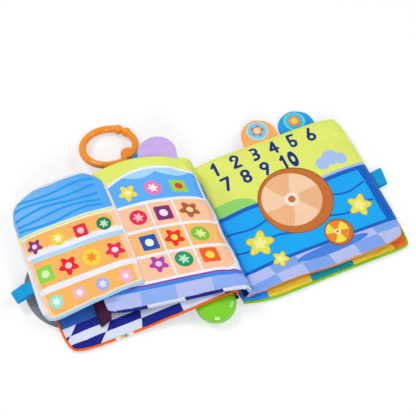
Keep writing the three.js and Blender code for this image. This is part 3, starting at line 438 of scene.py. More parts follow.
PUFF_FRAMES = 20
PUCKER = 0.32
PUCKER_LENGTH = 9.0
FOLD = 0.62
FOLD_LENGTH = 46.0
FOLD_RISE = 1.2


def puff(piece, start, normals, pinned, rise, sink):
    """Blows a sewn pad up with the cloth solver, and keeps each point within its room."""
    group = piece.vertex_groups.new(name="sewn")
    for index in np.flatnonzero(pinned > 0):
        group.add([int(index)], float(pinned[index]), "REPLACE")
    modifier = piece.modifiers.new("Cloth", "CLOTH")
    modifier.settings.vertex_group_mass = "sewn"
    modifier.settings.mass = 0.15
    modifier.settings.quality = 4
    modifier.settings.tension_stiffness = 6
    modifier.settings.compression_stiffness = 6
    modifier.settings.shear_stiffness = 2
    modifier.settings.bending_stiffness = 0.08
    modifier.settings.shrink_min = -0.035
    modifier.settings.use_pressure = True
    modifier.settings.uniform_pressure_force = 6
    modifier.settings.effector_weights.gravity = 0
    modifier.collision_settings.use_collision = False
    modifier.point_cache.frame_start = 1
    modifier.point_cache.frame_end = PUFF_FRAMES
    scene = bpy.context.scene
    for step in range(1, PUFF_FRAMES + 1):
        scene.frame_set(step)
    pick(piece)
    bpy.ops.object.modifier_apply(modifier=modifier.name)
    scene.frame_set(1)
    piece.vertex_groups.clear()
    moved = coordinates(piece) / MM - start
    out = (moved * normals).sum(-1)
    held = np.where(out > 0, rise * np.tanh(out / np.maximum(rise, 1e-6)), 0)
    held = np.where(out < 0, -sink * np.tanh(-out / np.maximum(sink, 1e-6)), held)
    place(piece, (start + normals * held[:, None]) * MM)


def pad(name, lie, top, bottom, cells, plan, size, seed, rise=(FOLD_RISE, 0.2), open_side=0):
    """A sewn pad: two skins over a surface, joined by a seam, blown up and creased."""
    piece, raw = skins(name, cells)
    a, b = share_out(raw[:, 0]), share_out(raw[:, 1])
    upper = raw[:, 2] > 0.5
    normals = normals_of(lie, a, b)
    middle = points_of(lie, a, b)
    u, v = plan(a, b, middle)
    far_a = size[0] * (1 - (np.maximum(0, -a * open_side) if open_side else np.abs(a)))
    edge = np.minimum(far_a, size[1] * (1 - np.abs(b)))
    crown = smooth(edge / 9)
    puckers = ripples(u, v, seed, PUCKER_LENGTH) * PUCKER * np.exp(-edge / 6) * smooth(edge / 1.6)
    folds = ripples(u, v, seed + 1, FOLD_LENGTH, 6) * FOLD * crown
    side = np.where(upper, 1.0, -1.0)
    lie_off = np.where(upper, top(a, b), -bottom(a, b))
    start = middle + normals * (lie_off + folds * rise[0] / FOLD_RISE)[:, None]
    start += normals * (side * puckers * np.where(upper, 1, rise[1]))[:, None]
    place(piece, start * MM)
    write_plan(piece, u, v)
    write_edge(piece, edge)
    flat = np.zeros(len(piece.data.polygons) * 3)
    piece.data.polygons.foreach_get("normal", flat)
    facing = np.empty(len(piece.data.polygons), np.int32)
    for face in piece.data.polygons:
        ends = {bool(upper[index]) for index in face.vertices}
        facing[face.index] = 2 if len(ends) == 2 else (0 if ends == {True} else 1)
    sewn = np.where(edge < 0.6, 1.0, 0.0)
    if open_side:
        sewn = np.maximum(sewn, np.where(a * open_side > 0.985, 1.0, 0.0))
    room = np.where(upper, rise[0], rise[1])
    puff(piece, start, normals * side[:, None], sewn, room, room + 0.6)
    piece.data.polygons.foreach_set("material_index", facing)
    apply_modifier(piece, "SUBSURF", levels=1, render_levels=1, boundary_smooth="ALL")
    shade(piece, 60)
    return piece


def dress(piece, *finishes):
    for finish in finishes:
        piece.data.materials.append(finish)
    return piece


def strip(name, lie, half, cells, plan):
    """A thin band of cloth over a surface, with woven edges."""
    piece, raw = skins(name, cells)
    a, b = raw[:, 0], raw[:, 1]
    upper = raw[:, 2] > 0.5
    normals = normals_of(lie, a, b)
    middle = points_of(lie, a, b)
    thick = half * (1 - 0.35 * np.abs(b) ** 6)
    place(piece, (middle + normals * np.where(upper, thick, -thick)[:, None]) * MM)
    u, v = plan(a, b)
    write_plan(piece, u, v)
    apply_modifier(piece, "SUBSURF", levels=1, render_levels=1)
    shade(piece, 60)
    return piece


def tape(name, line, fore, across, upright, out, curled=0, sides=14):
    """A binding tape folded over a line at the edge of a cover, as one closed band."""
    spine = np.array(line)
    for _ in range(3):
        spine[1:-1] = (spine[:-2] + 2 * spine[1:-1] + spine[2:]) / 4
    ahead = np.gradient(spine, axis=0)
    ahead /= np.linalg.norm(ahead, axis=1, keepdims=True)
    outward = np.cross(ahead, [0, 0, 1]) * fore
    outward[:curled] = (0, -1, 0)
    outward /= np.linalg.norm(outward, axis=1, keepdims=True)
    rise = np.cross(ahead, outward) * -fore
    piece = grid(name, len(spine) - 1, sides)
    raw = coordinates(piece)
    row = np.rint((raw[:, 0] + 1) / 2 * (len(spine) - 1)).astype(int)
    turn = (raw[:, 1] + 1) * math.pi
    run = np.concatenate([[0], np.cumsum(np.linalg.norm(np.diff(spine, axis=0), axis=1))])
    pinch = 1 + 0.05 * ripples(run, run * 0, 31, 7.0)[row]
    points = spine[row] + outward[row] * (out + across * np.cos(turn) * pinch)[:, None]
    points += rise[row] * (upright * np.sin(turn) * pinch)[:, None]
    place(piece, points * MM)
    write_plan(piece, run[row], turn * 2)
    edit(
        piece,
        lambda: bpy.ops.mesh.remove_doubles(threshold=1e-6),
        lambda: bpy.ops.mesh.select_all(action="DESELECT"),
        lambda: bpy.ops.mesh.select_non_manifold(),
        lambda: bpy.ops.mesh.edge_face_add(),
        lambda: bpy.ops.mesh.select_all(action="SELECT"),
        lambda: bpy.ops.mesh.normals_make_consistent(inside=False),
    )
    shade(piece, 60)
    return piece


# Finishes
def colour(code):
    """A colour written as on a paint chart, in the linear numbers of the shader."""
    parts = [int(code[i:i + 2], 16) / 255 for i in (1, 3, 5)]
    linear = [p / 12.92 if p <= 0.04045 else ((p + 0.055) / 1.055) ** 2.4 for p in parts]
    return (*linear, 1.0)


class Wire:
    """One output of a node, on which sums are written as plain expressions."""

    def __init__(self, finish, socket):
        self.finish = finish
        self.socket = socket

    def sum(self, how, *others, **settings):
        return self.finish.node("ShaderNodeMath", {"operation": how, **settings}, [self, *others])

    def turned(self, how, other):
        return self.finish.node("ShaderNodeMath", {"operation": how}, [other, self])

    def vector(self, how, *others, output=0):
        return self.finish.node("ShaderNodeVectorMath", {"operation": how}, [self, *others], output)

    def length(self):
        return self.vector("LENGTH", output="Value")

    def __add__(self, other):
        return self.sum("ADD", other)

    __radd__ = __add__

    def __sub__(self, other):
        return self.sum("SUBTRACT", other)

    def __rsub__(self, other):
        return self.turned("SUBTRACT", other)

    def __mul__(self, other):
        return self.sum("MULTIPLY", other)

    __rmul__ = __mul__

    def __truediv__(self, other):
        return self.sum("DIVIDE", other)

    def __abs__(self):
        return self.sum("ABSOLUTE")


class Finish:
    """A material under construction, and the marks that a print is painted with."""

    def __init__(self, name):
        self.material = bpy.data.materials.new(name)
        self.material.use_nodes = True
        self.tree = self.material.node_tree
        self.tree.nodes.clear()
        self.out = self.tree.nodes.new("ShaderNodeOutputMaterial")

    def node(self, kind, settings=None, inputs=(), output=0):
        node = self.tree.nodes.new(kind)
        for key, value in (settings or {}).items():
            setattr(node, key, value)
        pairs = inputs.items() if isinstance(inputs, dict) else enumerate(inputs)
        for key, value in pairs:
            if value is None:
                continue
            if isinstance(value, Wire):
                self.tree.links.new(value.socket, node.inputs[key])
            else:
                node.inputs[key].default_value = value
        return Wire(self, node.outputs[output])

    def place_on_cloth(self):
        """A point's place on the cloth in millimetres, from the piece's own UV map."""
        plan = self.node("ShaderNodeUVMap", {"uv_map": PRINT_MAP})
        return plan.vector("MULTIPLY", (PRINT_UNIT, PRINT_UNIT, 0))

    def place_in_space(self):
        where = self.node("ShaderNodeTexCoord", output="Object")
        return where.vector("MULTIPLY", (1 / MM, 1 / MM, 1 / MM))

    def split(self, spot):
        node = self.tree.nodes.new("ShaderNodeSeparateXYZ")
        self.tree.links.new(spot.socket, node.inputs[0])
        return [Wire(self, node.outputs[i]) for i in range(3)]

    def join(self, x, y, z=0.0):
        return self.node("ShaderNodeCombineXYZ", {}, [x, y, z])

    def fill(self, depth, soft=0.16):
        """From 0 outside a shape to 1 inside, over a soft printed edge."""
        inputs = {"Value": depth, "From Min": -soft, "From Max": soft}
        return self.node("ShaderNodeMapRange", {"interpolation_type": "SMOOTHSTEP"}, inputs)

    def box(self, spot, centre, half, corner=0.8):
        inner = (half[0] - corner, half[1] - corner, 0)
        away = spot.vector("SUBTRACT", (*centre, 0)).vector("ABSOLUTE").vector("SUBTRACT", inner)
        return self.fill(corner - away.vector("MAXIMUM", (0, 0, 0)).length())

    def disc(self, spot, centre, radius):
        return self.fill(radius - spot.vector("DISTANCE", (*centre, 0), output="Value"))

    def oval(self, spot, centre, radii):
        away = spot.vector("SUBTRACT", (*centre, 0)).vector("DIVIDE", (*radii, 1))
        return self.fill((1 - away.length()) * min(radii))

    def off_ring(self, spot, centre, radius):
        return abs(spot.vector("DISTANCE", (*centre, 0), output="Value") - radius)

    def off_oval(self, spot, centre, radii):
        away = spot.vector("SUBTRACT", (*centre, 0)).vector("DIVIDE", (*radii, 1))
        return (away.length() - 1) * min(radii)

    def off_stroke(self, spot, start, end):
        run = Vector(end) - Vector(start)
        reach = spot.vector("SUBTRACT", (*start, 0))
        along = reach.vector("DOT_PRODUCT", (run.x, run.y, 0), output="Value")
        share = along.sum("MULTIPLY", 1 / run.length_squared, use_clamp=True)
        near = self.join(share * run.x, share * run.y)
        return reach.vector("DISTANCE", near, output="Value")

    def star(self, spot, centre, radius, points=5, depth=0.22, turn=0.0):
        x, y, _ = self.split(spot.vector("SUBTRACT", (*centre, 0)))
        angle = y.sum("ARCTAN2", x)
        wave = (angle * points + turn).sum("COSINE")
        away = spot.vector("DISTANCE", (*centre, 0), output="Value")
        return self.fill(radius * (1 - depth) + wave * (radius * depth) - away)

    def over(self, under, tint, mask):
        tint = colour(tint) if isinstance(tint, str) else tint
        under = colour(under) if isinstance(under, str) else under
        settings = {"data_type": "RGBA", "clamp_factor": True}
        inputs = {0: mask, 6: under, 7: tint}
        return self.node("ShaderNodeMix", settings, inputs, output=2)

    def brighter(self, base, value):
        base = colour(base) if isinstance(base, str) else base
        return self.node("ShaderNodeHueSaturation", {}, {"Value": value, "Color": base})

    def noise(self, spot, scale, detail=2.0, rough=0.5):
        inputs = {"Vector": spot, "Scale": scale, "Detail": detail, "Roughness": rough}
        return self.node("ShaderNodeTexNoise", {}, inputs)

    def finish(self, base, roughness, bump=None, strength=0.3, reach=0.2, **constants):
        shader = self.tree.nodes.new("ShaderNodeBsdfPrincipled")
        for key, value in {"Base Color": base, "Roughness": roughness}.items():
            if isinstance(value, Wire):
                self.tree.links.new(value.socket, shader.inputs[key])
            else:
                shader.inputs[key].default_value = value
        for key, value in constants.items():
            shader.inputs[key.replace("_", " ")].default_value = value
        if bump is not None:
            inputs = {"Strength": strength, "Distance": reach * MM, "Height": bump}
            lifted = self.node("ShaderNodeBump", {}, inputs)
            self.tree.links.new(lifted.socket, shader.inputs["Normal"])
        self.tree.links.new(shader.outputs[0], self.out.inputs["Surface"])
        return self.material


STITCH_PLACE = 2.6
STITCH_HALF = 0.28
STITCH_PITCH = 3.1
WEAVE_PITCH = 0.62


def cloth(name, paint, stitched=True, rough=0.62, thread="#F4F6FF", piping=None):
    """A printed woven cloth: its print, a little unevenness, the weave and a row of stitches."""
    finish = Finish(name)
    spot = finish.place_on_cloth()
    base = paint(finish, spot) if callable(paint) else colour(paint)
    u, v, _ = finish.split(spot)
    blotch = finish.noise(spot, 0.045, 3.0)
    shade_of = (blotch - 0.5) * 0.14
    lighter = finish.brighter(base, shade_of + 1.0)
    warp = (u * (2 * math.pi / WEAVE_PITCH)).sum("SINE")
    weft = (v * (2 * math.pi / WEAVE_PITCH)).sum("SINE")
    weave = warp * weft * 0.5
    creases = finish.noise(spot, 0.11, 4.0, 0.55) * 5.0
    height = weave * 0.22 + creases
    seam = finish.node("ShaderNodeAttribute", {"attribute_name": "seam"}, output="Fac")
    if piping:
        lighter = finish.over(lighter, piping, finish.fill(0.9 - seam, 0.3) * finish.fill(-60 - v))
    if stitched:
        off = abs(seam - STITCH_PLACE)
        dash = ((u + v) / STITCH_PITCH).sum("FRACT")
        thread_mask = finish.fill(STITCH_HALF - off, 0.1) * finish.fill(0.3 - abs(dash - 0.5), 0.06)
        groove = finish.fill(1.1 - off, 0.9)
        lighter = finish.over(lighter, thread, thread_mask * 0.17)
        height = height + thread_mask * 1.2 - groove * 1.6
    coarse = finish.noise(spot, 0.4, 2.0)
    return finish.finish(
        lighter, coarse * 0.12 + (rough - 0.06), height, 0.42, 0.32,
        Sheen_Weight=0.04, Sheen_Roughness=0.4, Specular_IOR_Level=0.25,
    )


def plain_cloth(name, code, rough=0.66, stitched=False):
    return cloth(name, code, stitched, rough)


def ribbed(name, code, pitch, along=True, rough=0.6):
    """Grosgrain ribbon or webbing: ribs across or along the band."""
    finish = Finish(name)
    spot = finish.place_on_cloth()
    u, v, _ = finish.split(spot)
    ribs = ((u if along else v) * (2 * math.pi / pitch)).sum("SINE")
    blotch = finish.noise(spot, 0.12, 3.0)
    value = (blotch - 0.5) * 0.25 + ribs * 0.05 + 1.0
    base = finish.brighter(code, value)
    fine = ((v if along else u) * (2 * math.pi / 0.5)).sum("SINE") * 0.1
    height = ribs * 0.35 + fine + finish.noise(spot, 0.3, 3.0) * 0.8
    return finish.finish(
        base, blotch * 0.15 + (rough - 0.08), height, 0.5, 0.3,
        Sheen_Weight=0.03, Specular_IOR_Level=0.2,
    )


def moulded(name, code, rough=0.16, coat=0.5, bump=0.06):
    """Glossy injection-moulded plastic, with faint flow marks and a fine uneven skin."""
    finish = Finish(name)
    spot = finish.place_in_space()
    flow = finish.noise(spot, 0.02, 2.0)
    value = (flow - 0.5) * 0.08 + 1.0
    base = finish.brighter(code, value)
    skin = finish.noise(spot, 0.35, 2.0)
    roughness = skin * 0.08 + (rough - 0.04)
    return finish.finish(
        base, roughness, skin, bump, 0.3,
        Coat_Weight=coat, Coat_Roughness=0.06, Specular_IOR_Level=0.5,
    )


def metal(name, code, rough=0.3):
    finish = Finish(name)
    spot = finish.place_in_space()
    grain = finish.noise(spot.vector("MULTIPLY", (0.6, 6.0, 0.6)), 0.8, 3.0)
    value = (grain - 0.5) * 0.3 + 1.0
    base = finish.brighter(code, value)
    return finish.finish(base, grain * 0.25 + (rough - 0.1), grain, 0.12, 0.1, Metallic=1.0)


def felt(name, code):
    finish = Finish(name)
    spot = finish.place_in_space()
    fibres = finish.noise(spot, 1.4, 6.0, 0.7)
    clumps = finish.noise(spot, 0.12, 3.0)
    value = (fibres - 0.5) * 0.6 + (clumps - 0.5) * 0.25 + 1.0
    base = finish.brighter(code, value)
    return finish.finish(base, 0.95, fibres, 0.9, 0.5, Sheen_Weight=0.4, Sheen_Roughness=0.6)


# Prints
LIME_YELLOW = "#E6F06E"
NAVY = "#03188C"
INK = "#0A2A80"
PALE = "#DDE5FA"
ROYAL = "#0060C4"
AZURE = "#00AAF6"
LAVENDER = "#B9C3F3"
PERIWINKLE = "#7FA6F0"
WHITE = "#F1F3FD"

# Figures on a field one wide and two high: lines, bows (centre height, kept side, from where)
FIGURES = {
    1: [((0.5, 0.12), (0.5, 1.88)), ((0.16, 1.44), (0.5, 1.88))],
    2: [(1.42, 1, 1.3), ((0.9, 1.22), (0.1, 0.12)), ((0.1, 0.12), (0.98, 0.12))],
    3: [(1.44, 0, 0.46), (0.56, 0, 0.46), ((0.3, 1.87), (0.5, 1.87)), ((0.24, 0.13), (0.5, 0.13))],
    4: [((0.72, 0.12), (0.72, 1.88)), ((0.72, 1.88), (0.04, 0.66)), ((0.04, 0.66), (1.02, 0.66))],
    5: [(0.6, 0, 0.2), ((0.2, 1.86), (0.9, 1.86)), ((0.2, 1.86), (0.16, 1.04))],
    6: [(0.56, 2, 0.0), ((0.07, 0.68), (0.62, 1.88))],
    7: [((0.06, 1.86), (0.94, 1.86)), ((0.94, 1.86), (0.36, 0.12))],
    8: [(1.44, 2, 0.0), (0.56, 2, 0.0)],
    9: [(1.42, 2, 0.0), ((0.92, 1.3), (0.4, 0.12))],
}
BOW_RADIUS = 0.43


def numeral(f, spot, figure, low, width, half):
    """The distance-painted mask of one bold plain figure, its lower left corner at low."""
    here = spot.vector("SUBTRACT", (*low, 0)).vector("DIVIDE", (width, width, 1))
    u, v, _ = f.split(here)
    near = None
    for part in FIGURES[figure]:
        if len(part) == 2:
            far = f.off_stroke(here, *part)
        else:
            height, side, start = part
            far = f.off_ring(here, (0.5, height), BOW_RADIUS)
            if side < 2:
                far = far.sum("MAXIMUM", start - (u if side == 0 else v))
        near = far if near is None else near.sum("MINIMUM", far)
    return f.fill(half / width - near, 0.02)


def check(f, spot, pitch, lean=0.0, start=(0.0, 0.0)):
    """A two-colour check, 0 and 1 in turn."""
    u, v, _ = f.split(spot)
    column = ((u - start[0] + v * lean) / pitch[0]).sum("FLOOR")
    row = ((v - start[1]) / pitch[1]).sum("FLOOR")
    return abs((column + row).sum("MODULO", 2.0))


def paint_ball(f, spot, paint, centre, radius, inks, panels, turn):
    """A beach ball: an outline, a rim, curved panels and a cap."""
    line, rim, light, deep, cap = inks
    paint = f.over(paint, line, f.disc(spot, centre, radius))
    paint = f.over(paint, rim, f.disc(spot, centre, radius - 0.8))
    aside = (centre[0] - radius * 0.08, centre[1] + radius * 0.06)
    x, y, _ = f.split(spot.vector("SUBTRACT", (*aside, 0)))
    away = spot.vector("DISTANCE", (*aside, 0), output="Value")
    wheel = (y.sum("ARCTAN2", x) * panels + away * (0.9 / radius) + turn).sum("COSINE")
    face = f.over(light, deep, f.fill(wheel * 10))
    paint = f.over(paint, face, f.disc(spot, aside, radius * 0.8))
    paint = f.over(paint, cap, f.disc(spot, aside, radius * 0.2))
    return f.over(paint, rim, f.disc(spot, aside, radius * 0.1))


def paint_right_page(f, spot):
    u, v, _ = f.split(spot)
    wave = (u / 19).sum("SINE") * 1.6
    paint = f.over(LIME_YELLOW, "#93DC6C", f.oval(spot, (22, 11), (30, 15)))
    digits = [(figure, (27 + 21.0 * k, 57.0)) for k, figure in enumerate((1, 2, 3, 4, 5, 6))]
    digits += [(figure, (30 + 21.0 * k, 36.5)) for k, figure in enumerate((7, 8, 9, 1))]
    for figure, low in digits:
        paint = f.over(paint, INK, numeral(f, spot, figure, low, 7.8, 1.5))
    paint = f.over(paint, INK, f.fill(1.5 - abs(f.off_oval(spot, (106.5, 44.3), (3.2, 6.6)))))
    for centre, radius in (((131, 27), 7.0), ((141, 30.5), 8.6), ((150.5, 26), 6.4)):
        paint = f.over(paint, "#A9C6F4", f.disc(spot, centre, radius))
    paint = f.over(paint, "#A2C2F6", f.fill(13.8 + wave - v) * f.fill(u - 104))
    paint = f.over(paint, ROYAL, f.fill(11.0 + wave - v))
    paint = f.over(paint, AZURE, f.fill(6.4 + wave - v) * f.fill(160.5 - u))
    for level, offset in ((-10.0, 0.0), (-31.0, 9.0)):
        crest = ((u + offset) / 8).sum("SINE") * 2.4
        paint = f.over(paint, ROYAL, f.fill(1.1 - abs(v - level - crest)) * f.fill(159.0 - u))
    shore = -52.6 + (u - 90) * -0.02
    paint = f.over(paint, ROYAL, f.fill(shore - v))
    ground = f.over(LAVENDER, PERIWINKLE, check(f, spot, (27, 13.2), 0.3, (17, -78.2)))
    paint = f.over(paint, ground, f.fill(shore - 3.4 - v))
    paint = f.over(paint, "#4484E4", f.oval(spot, (98, -61.5), (38, 5.0)))
    warm = ("#7A3E16", "#C9702C", "#FBD3AE", "#F3B888", "#FDE9D8")
    sun = ("#7A3E16", "#C9702C", "#F4E44A", "#F08A28", "#FBF6C0")
    paint = paint_ball(f, spot, paint, (88, 0), 37.5, warm, 3, 0.4)
    paint = paint_ball(f, spot, paint, (111, -49), 14.5, sun, 3, 1.3)
    for centre, radius, turn in (((36, -30), 13.5, 0.4), ((143, -30), 12.0, 1.1), ((47, -53), 8.0, 2.0)):
        paint = f.over(paint, "#B8961E", f.star(spot, centre, radius + 0.8, 5, 0.2, turn))
        paint = f.over(paint, "#EEE64C", f.star(spot, centre, radius, 5, 0.2, turn))
        paint = f.over(paint, "#F8F49A", f.star(spot, centre, radius * 0.48, 5, 0.2, turn))
    return paint


# The quilt's plain shapes: kind, column, row, size, colour and the colour of the heart
LEAF_SHAPES = (
    ("star", 0, 0, 8.6, "#F8E23C", "#FFF8C0"), ("disc", 1, 0, 7.4, "#F27AB4", "#FFF0F8"),
    ("box", 2, 0, 6.8, "#9CD84C", "#E43A3A"),
    ("disc", 0, 1, 7.8, "#E8204C", "#FFB8C8"), ("box", 1, 1, 7.4, "#86267A", "#F6E6F4"),
    ("star", 2, 1, 9.0, "#B4612A", "#F8D8B0"),
    ("box", 0, 2, 7.6, "#1458B8", "#F4F6FF"), ("star", 1, 2, 9.2, "#F02C1E", "#FFE84C"),
    ("disc", 2, 2, 7.8, "#7CC83C", "#F4F0A0"),
    ("star", 0, 3, 9.0, "#B43CA8", "#F4C8EC"), ("disc", 1, 3, 8.0, "#129A68", "#BCECC8"),
    ("box", 2, 3, 7.4, "#F8621E", "#F8E44C"),
)
LEAF_COLUMNS = (62.5, 39.5, 16.5)
LEAF_ROWS = (41.5, 14.5, -12.0, -35.0)
LEAF_LINES = (28.0, 1.0, -25.0)
LEAF_COLUMN_LINES = (51.0, 28.0)


def paint_shape(f, spot, paint, kind, centre, size, ink, heart):
    if kind == "box":
        paint = f.over(paint, ink, f.box(spot, centre, (size, size), 1.6))
        return f.over(paint, heart, f.disc(spot, centre, size * 0.5))
    if kind == "disc":
        paint = f.over(paint, ink, f.disc(spot, centre, size))
        return f.over(paint, heart, f.star(spot, centre, size * 0.62, 6, 0.25, 0.3))
    paint = f.over(paint, ink, f.star(spot, centre, size, 5, 0.2, 0.6))
    return f.over(paint, heart, f.disc(spot, centre, size * 0.32))


def paint_leaf(f, spot):
    """The left page: a quilt of plain shapes under an arch, over a check."""
    u, v, _ = f.split(spot)
    lean = (78 - u) * 0.017
    ground = f.over(LAVENDER, "#8FB2F6", check(f, spot, (33, 40), 0.22, (11, -96)))
    paint = f.over(ground, "#3C86EC", f.fill(v + 55.6 + lean))
    paint = f.over(paint, "#9A2F98", f.fill(v + 51.8 + lean))
    paint = f.over(paint, WHITE, f.fill(v + 50.2 + lean))
    arch = 65.6 - (u - 36) * (u - 36) * 0.0046
    paint = f.over(paint, LIME_YELLOW, f.fill(v - arch))
    slope = (u - 2) * 0.035
    flat = f.join(u, v - slope)
    level = v - slope
    rows = f.over("#5CB0FA", "#FFC8A0", f.fill(LEAF_LINES[0] - level))
    rows = f.over(rows, "#FDBE72", f.fill(LEAF_LINES[1] - level))
    rows = f.over(rows, "#FFC9A4", f.fill(LEAF_LINES[2] - level))
    swag = abs((u / 10).sum("SINE")) * 5.5
    rows = f.over(rows, "#A6DCFC", f.fill(level - 58.5 + swag))
    for height in LEAF_LINES:
        rows = f.over(rows, WHITE, f.fill(1.5 - abs(level - height)))
    for place_of in LEAF_COLUMN_LINES:
        rows = f.over(rows, WHITE, f.fill(0.9 - abs(u - place_of)) * f.fill(28.0 - level))
    for kind, column, row, size, ink, heart in LEAF_SHAPES:
        centre = (LEAF_COLUMNS[column], LEAF_ROWS[row])
        rows = paint_shape(f, flat, rows, kind, centre, size, ink, heart)
    framed = f.join(u, v + lean)
    inside = f.fill(arch - 2.8 - v) * f.box(framed, (53.5, 12.0), (56.5, 59.4), 9)
    paint = f.over(paint, rows, inside)
    paint = f.over(paint, "#9CC8F8", f.fill(-6.2 - u) * f.fill(57 - v))
    paint = f.over(paint, "#1E66D2", f.fill(-8.6 - u) * f.fill(57 - v))
    odd = abs(((u - 19) / 34.5).sum("FLOOR").sum("MODULO", 2.0))
    turned = f.over(NAVY, "#E6EBFC", odd)
    return f.over(paint, turned, f.fill(-69.9 - v) * f.fill(116 - u))


FLAP_SHAPES = (
    ("star", 0, 0, 7.6, "#8C2E7C", "#F4D0F0"), ("disc", 1, 0, 6.8, "#F6D63A", "#FFF8D0"),
    ("box", 2, 0, 6.2, "#E81E3C", "#FFC8D0"), ("disc", 3, 0, 6.8, "#12865C", "#C4F0D0"),
    ("box", 0, 1, 7.6, "#8EDC48", "#E4F8C0"), ("star", 1, 1, 9.6, "#F4102C", "#FFD0D8"),
    ("disc", 2, 1, 8.2, "#FFDA3A", "#F88A28"), ("star", 3, 1, 9.4, "#F01E50", "#FFE0E8"),
    ("disc", 0, 2, 6.4, "#A2E4D2", "#E8FAF4"), ("box", 1, 2, 5.8, "#F6B8C0", "#FFF0F2"),
    ("disc", 2, 2, 6.4, "#B2B0EC", "#E8E8FC"), ("star", 3, 2, 7.4, "#F4B8E0", "#FFF0FA"),
)
FLAP_COLUMNS = (78.5, 56.0, 33.5, 11.0)
FLAP_ROWS = (42.4, 13.6, -14.4)


def paint_flap(f, spot):
    """The folding panel: long waving stripes over rows of plain shapes, in a pale frame."""
    u, v, _ = f.split(spot)
    line = 54.2 + u * 0.086
    sky = f.over("#58ACF6", "#74BAF8", f.fill(u - 45, 45.0))
    for k, height in enumerate((92.0, 85.0, 78.0, 71.0, 64.0)):
        bow = ((u + 17.0 * k) / 11.5).sum("SINE") * 1.7
        stripe = abs(v - height - (u - 40) * 0.07 - bow)
        sky = f.over(sky, "#0E9CF4", f.fill(1.25 - stripe) * f.fill(87 - u) * f.fill(u - 5))
    level = v - u * 0.11
    flat = f.join(u, level)
    low = f.over("#FFD2AC", "#FDBA60", f.box(flat, (44, 11.0), (42.0, 40.0), 7))
    low = f.over(low, "#FFE0BC", f.fill(2.6 - abs(level - 33.6)))
    low = f.over(low, WHITE, f.fill(2.4 - abs(level - 32.0)) * f.fill(89 - u))
    low = f.over(low, "#B4DCF8", f.fill(2.2 - abs(level - 27.6)) * f.fill(86 - u))
    low = f.over(low, WHITE, f.fill(3.0 - abs(level + 3.6)))
    for kind, column, row, size, ink, heart in FLAP_SHAPES:
        centre = (FLAP_COLUMNS[column], FLAP_ROWS[row] - 2.0)
        low = paint_shape(f, flat, low, kind, centre, size, ink, heart)
    inner = f.over(low, sky, f.fill(v - line))
    inner = f.over(inner, WHITE, f.fill(2.1 - abs(v - line)))
    inner = f.over(inner, "#D8EE46", f.fill(0.75 - abs(v - line)))
    lean = f.join(u, v - (u - 46) * 0.055)
    frame_of = f.over("#EAF3FF", "#A8D8F4", f.fill(-17.5 - v + u * 0.055, 2.5))
    paint = f.over(frame_of, "#FBD3AA", f.box(lean, (43.0, 40.1), (48.4, 62.4), 7))
    paint = f.over(paint, WHITE, f.box(lean, (43.0, 40.1), (47.5, 61.5), 6.6))
    return f.over(paint, inner, f.box(lean, (43.0, 40.1), (46.8, 60.8), 6))


def paint_check_cover(f, spot):
    """Large leaning squares in navy and white, under a blue band."""
    u, v, _ = f.split(spot)
    lean = ((u - 80) / 50).sum("MULTIPLY", 1.0, use_clamp=True)
    column = ((u + v * lean - 17) / 41).sum("FLOOR")
    row = (v / 8.9).sum("FLOOR")
    odd = abs((column + row).sum("MODULO", 2.0))
    paint = f.over(PALE, NAVY, odd)
    paint = f.over(paint, "#2E66C2", f.fill(v - 26.7))
    return f.over(paint, "#4A90E8", f.fill(v - 41.5))


def paint_patches(f, spot):
    """Warm and green patches of a quilt."""
    u, v, _ = f.split(spot)
    column = ((u - 23) / 44.5).sum("FLOOR")
    row = ((v + 59) / 42).sum("FLOOR")
    pick = (column + row * 2).sum("FLOORED_MODULO", 4.0)
    paint = f.over("#FFD034", "#009CA6", f.fill(0.5 - abs(pick - 3.0)))
    paint = f.over(paint, "#E8562C", f.fill(0.5 - abs(pick - 1.0)))
    paint = f.over(paint, "#FF6E24", f.fill(u - 156 + (v + 78) * 0.6) * f.fill(-20 - v))
    return f.over(paint, "#2E92F6", f.fill(23 - u))


def paint_dots(under, dot, pitch=16.0, radius=2.6):
    def paint(f, spot):
        u, v, _ = f.split(spot)
        row = (v / pitch).sum("FLOOR")
        shift = abs(row.sum("MODULO", 2.0)) * 0.5
        x = ((u / pitch + shift).sum("FRACT") - 0.5) * pitch
        y = ((v / pitch).sum("FRACT") - 0.5) * pitch
        return f.over(under, dot, f.disc(f.join(x, y), (0, 0), radius))
    return paint


def paint_under_check(turned):
    """Navy and white by turns under the leaf, and another colour at the spine."""
    def paint(f, spot):
        u, _, _ = f.split(spot)
        odd = abs(((u - 19) / 34.5).sum("FLOOR").sum("MODULO", 2.0))
        made = f.over(NAVY, "#E6EBFC", f.fill(odd - 0.5) * f.fill(116 - u))
        return f.over(made, turned, f.fill(-3.0 - u))
    return paint


def paint_page_edge_with_shade(f, spot):
    u, _, _ = f.split(spot)
    # Painted shade: the rim is darker orange towards the spine, below 78 mm, standing in for the shade that
    # falls on the yellow patch beside the page; amber further out, and blue at the spine.
    paint = f.over("#EBA53C", "#E2601C", f.fill(78 - u, 6.0))
    return f.over(paint, "#2280EC", f.fill(20 - u, 3.0))


def paint_wall(f, spot):
    _, v, _ = f.split(spot)
    paint = f.over("#1E66D2", "#2F7CE4", f.fill(-50 - v))
    return f.over(paint, LIME_YELLOW, f.fill(v - 57))


def paint_orange_tape(f, spot):
    u, _, _ = f.split(spot)
    paint = f.over("#FF6A00", "#F2C83A", f.fill(9.5 - abs(u - 121)))
    paint = f.over(paint, "#F4F2E8", f.fill(2.2 - abs(u - 115)))
    paint = f.over(paint, "#F4F2E8", f.fill(1.8 - abs(u - 127)))
    return f.over(paint, "#2CA8B0", f.fill(1.3 - abs(u - 120)))


def paint_roundel(ground, rim, inner, petal, heart, points, centre=10.5):
    def paint(f, spot):
        made = f.over(ground, rim, f.disc(spot, (0, centre), 11.2))
        made = f.over(made, inner, f.disc(spot, (0, centre), 9.4))
        made = f.over(made, petal, f.star(spot, (0, centre), 7.2, points, 0.16, 0.4))
        return f.over(made, heart, f.disc(spot, (0, centre), 4.0))
    return paint


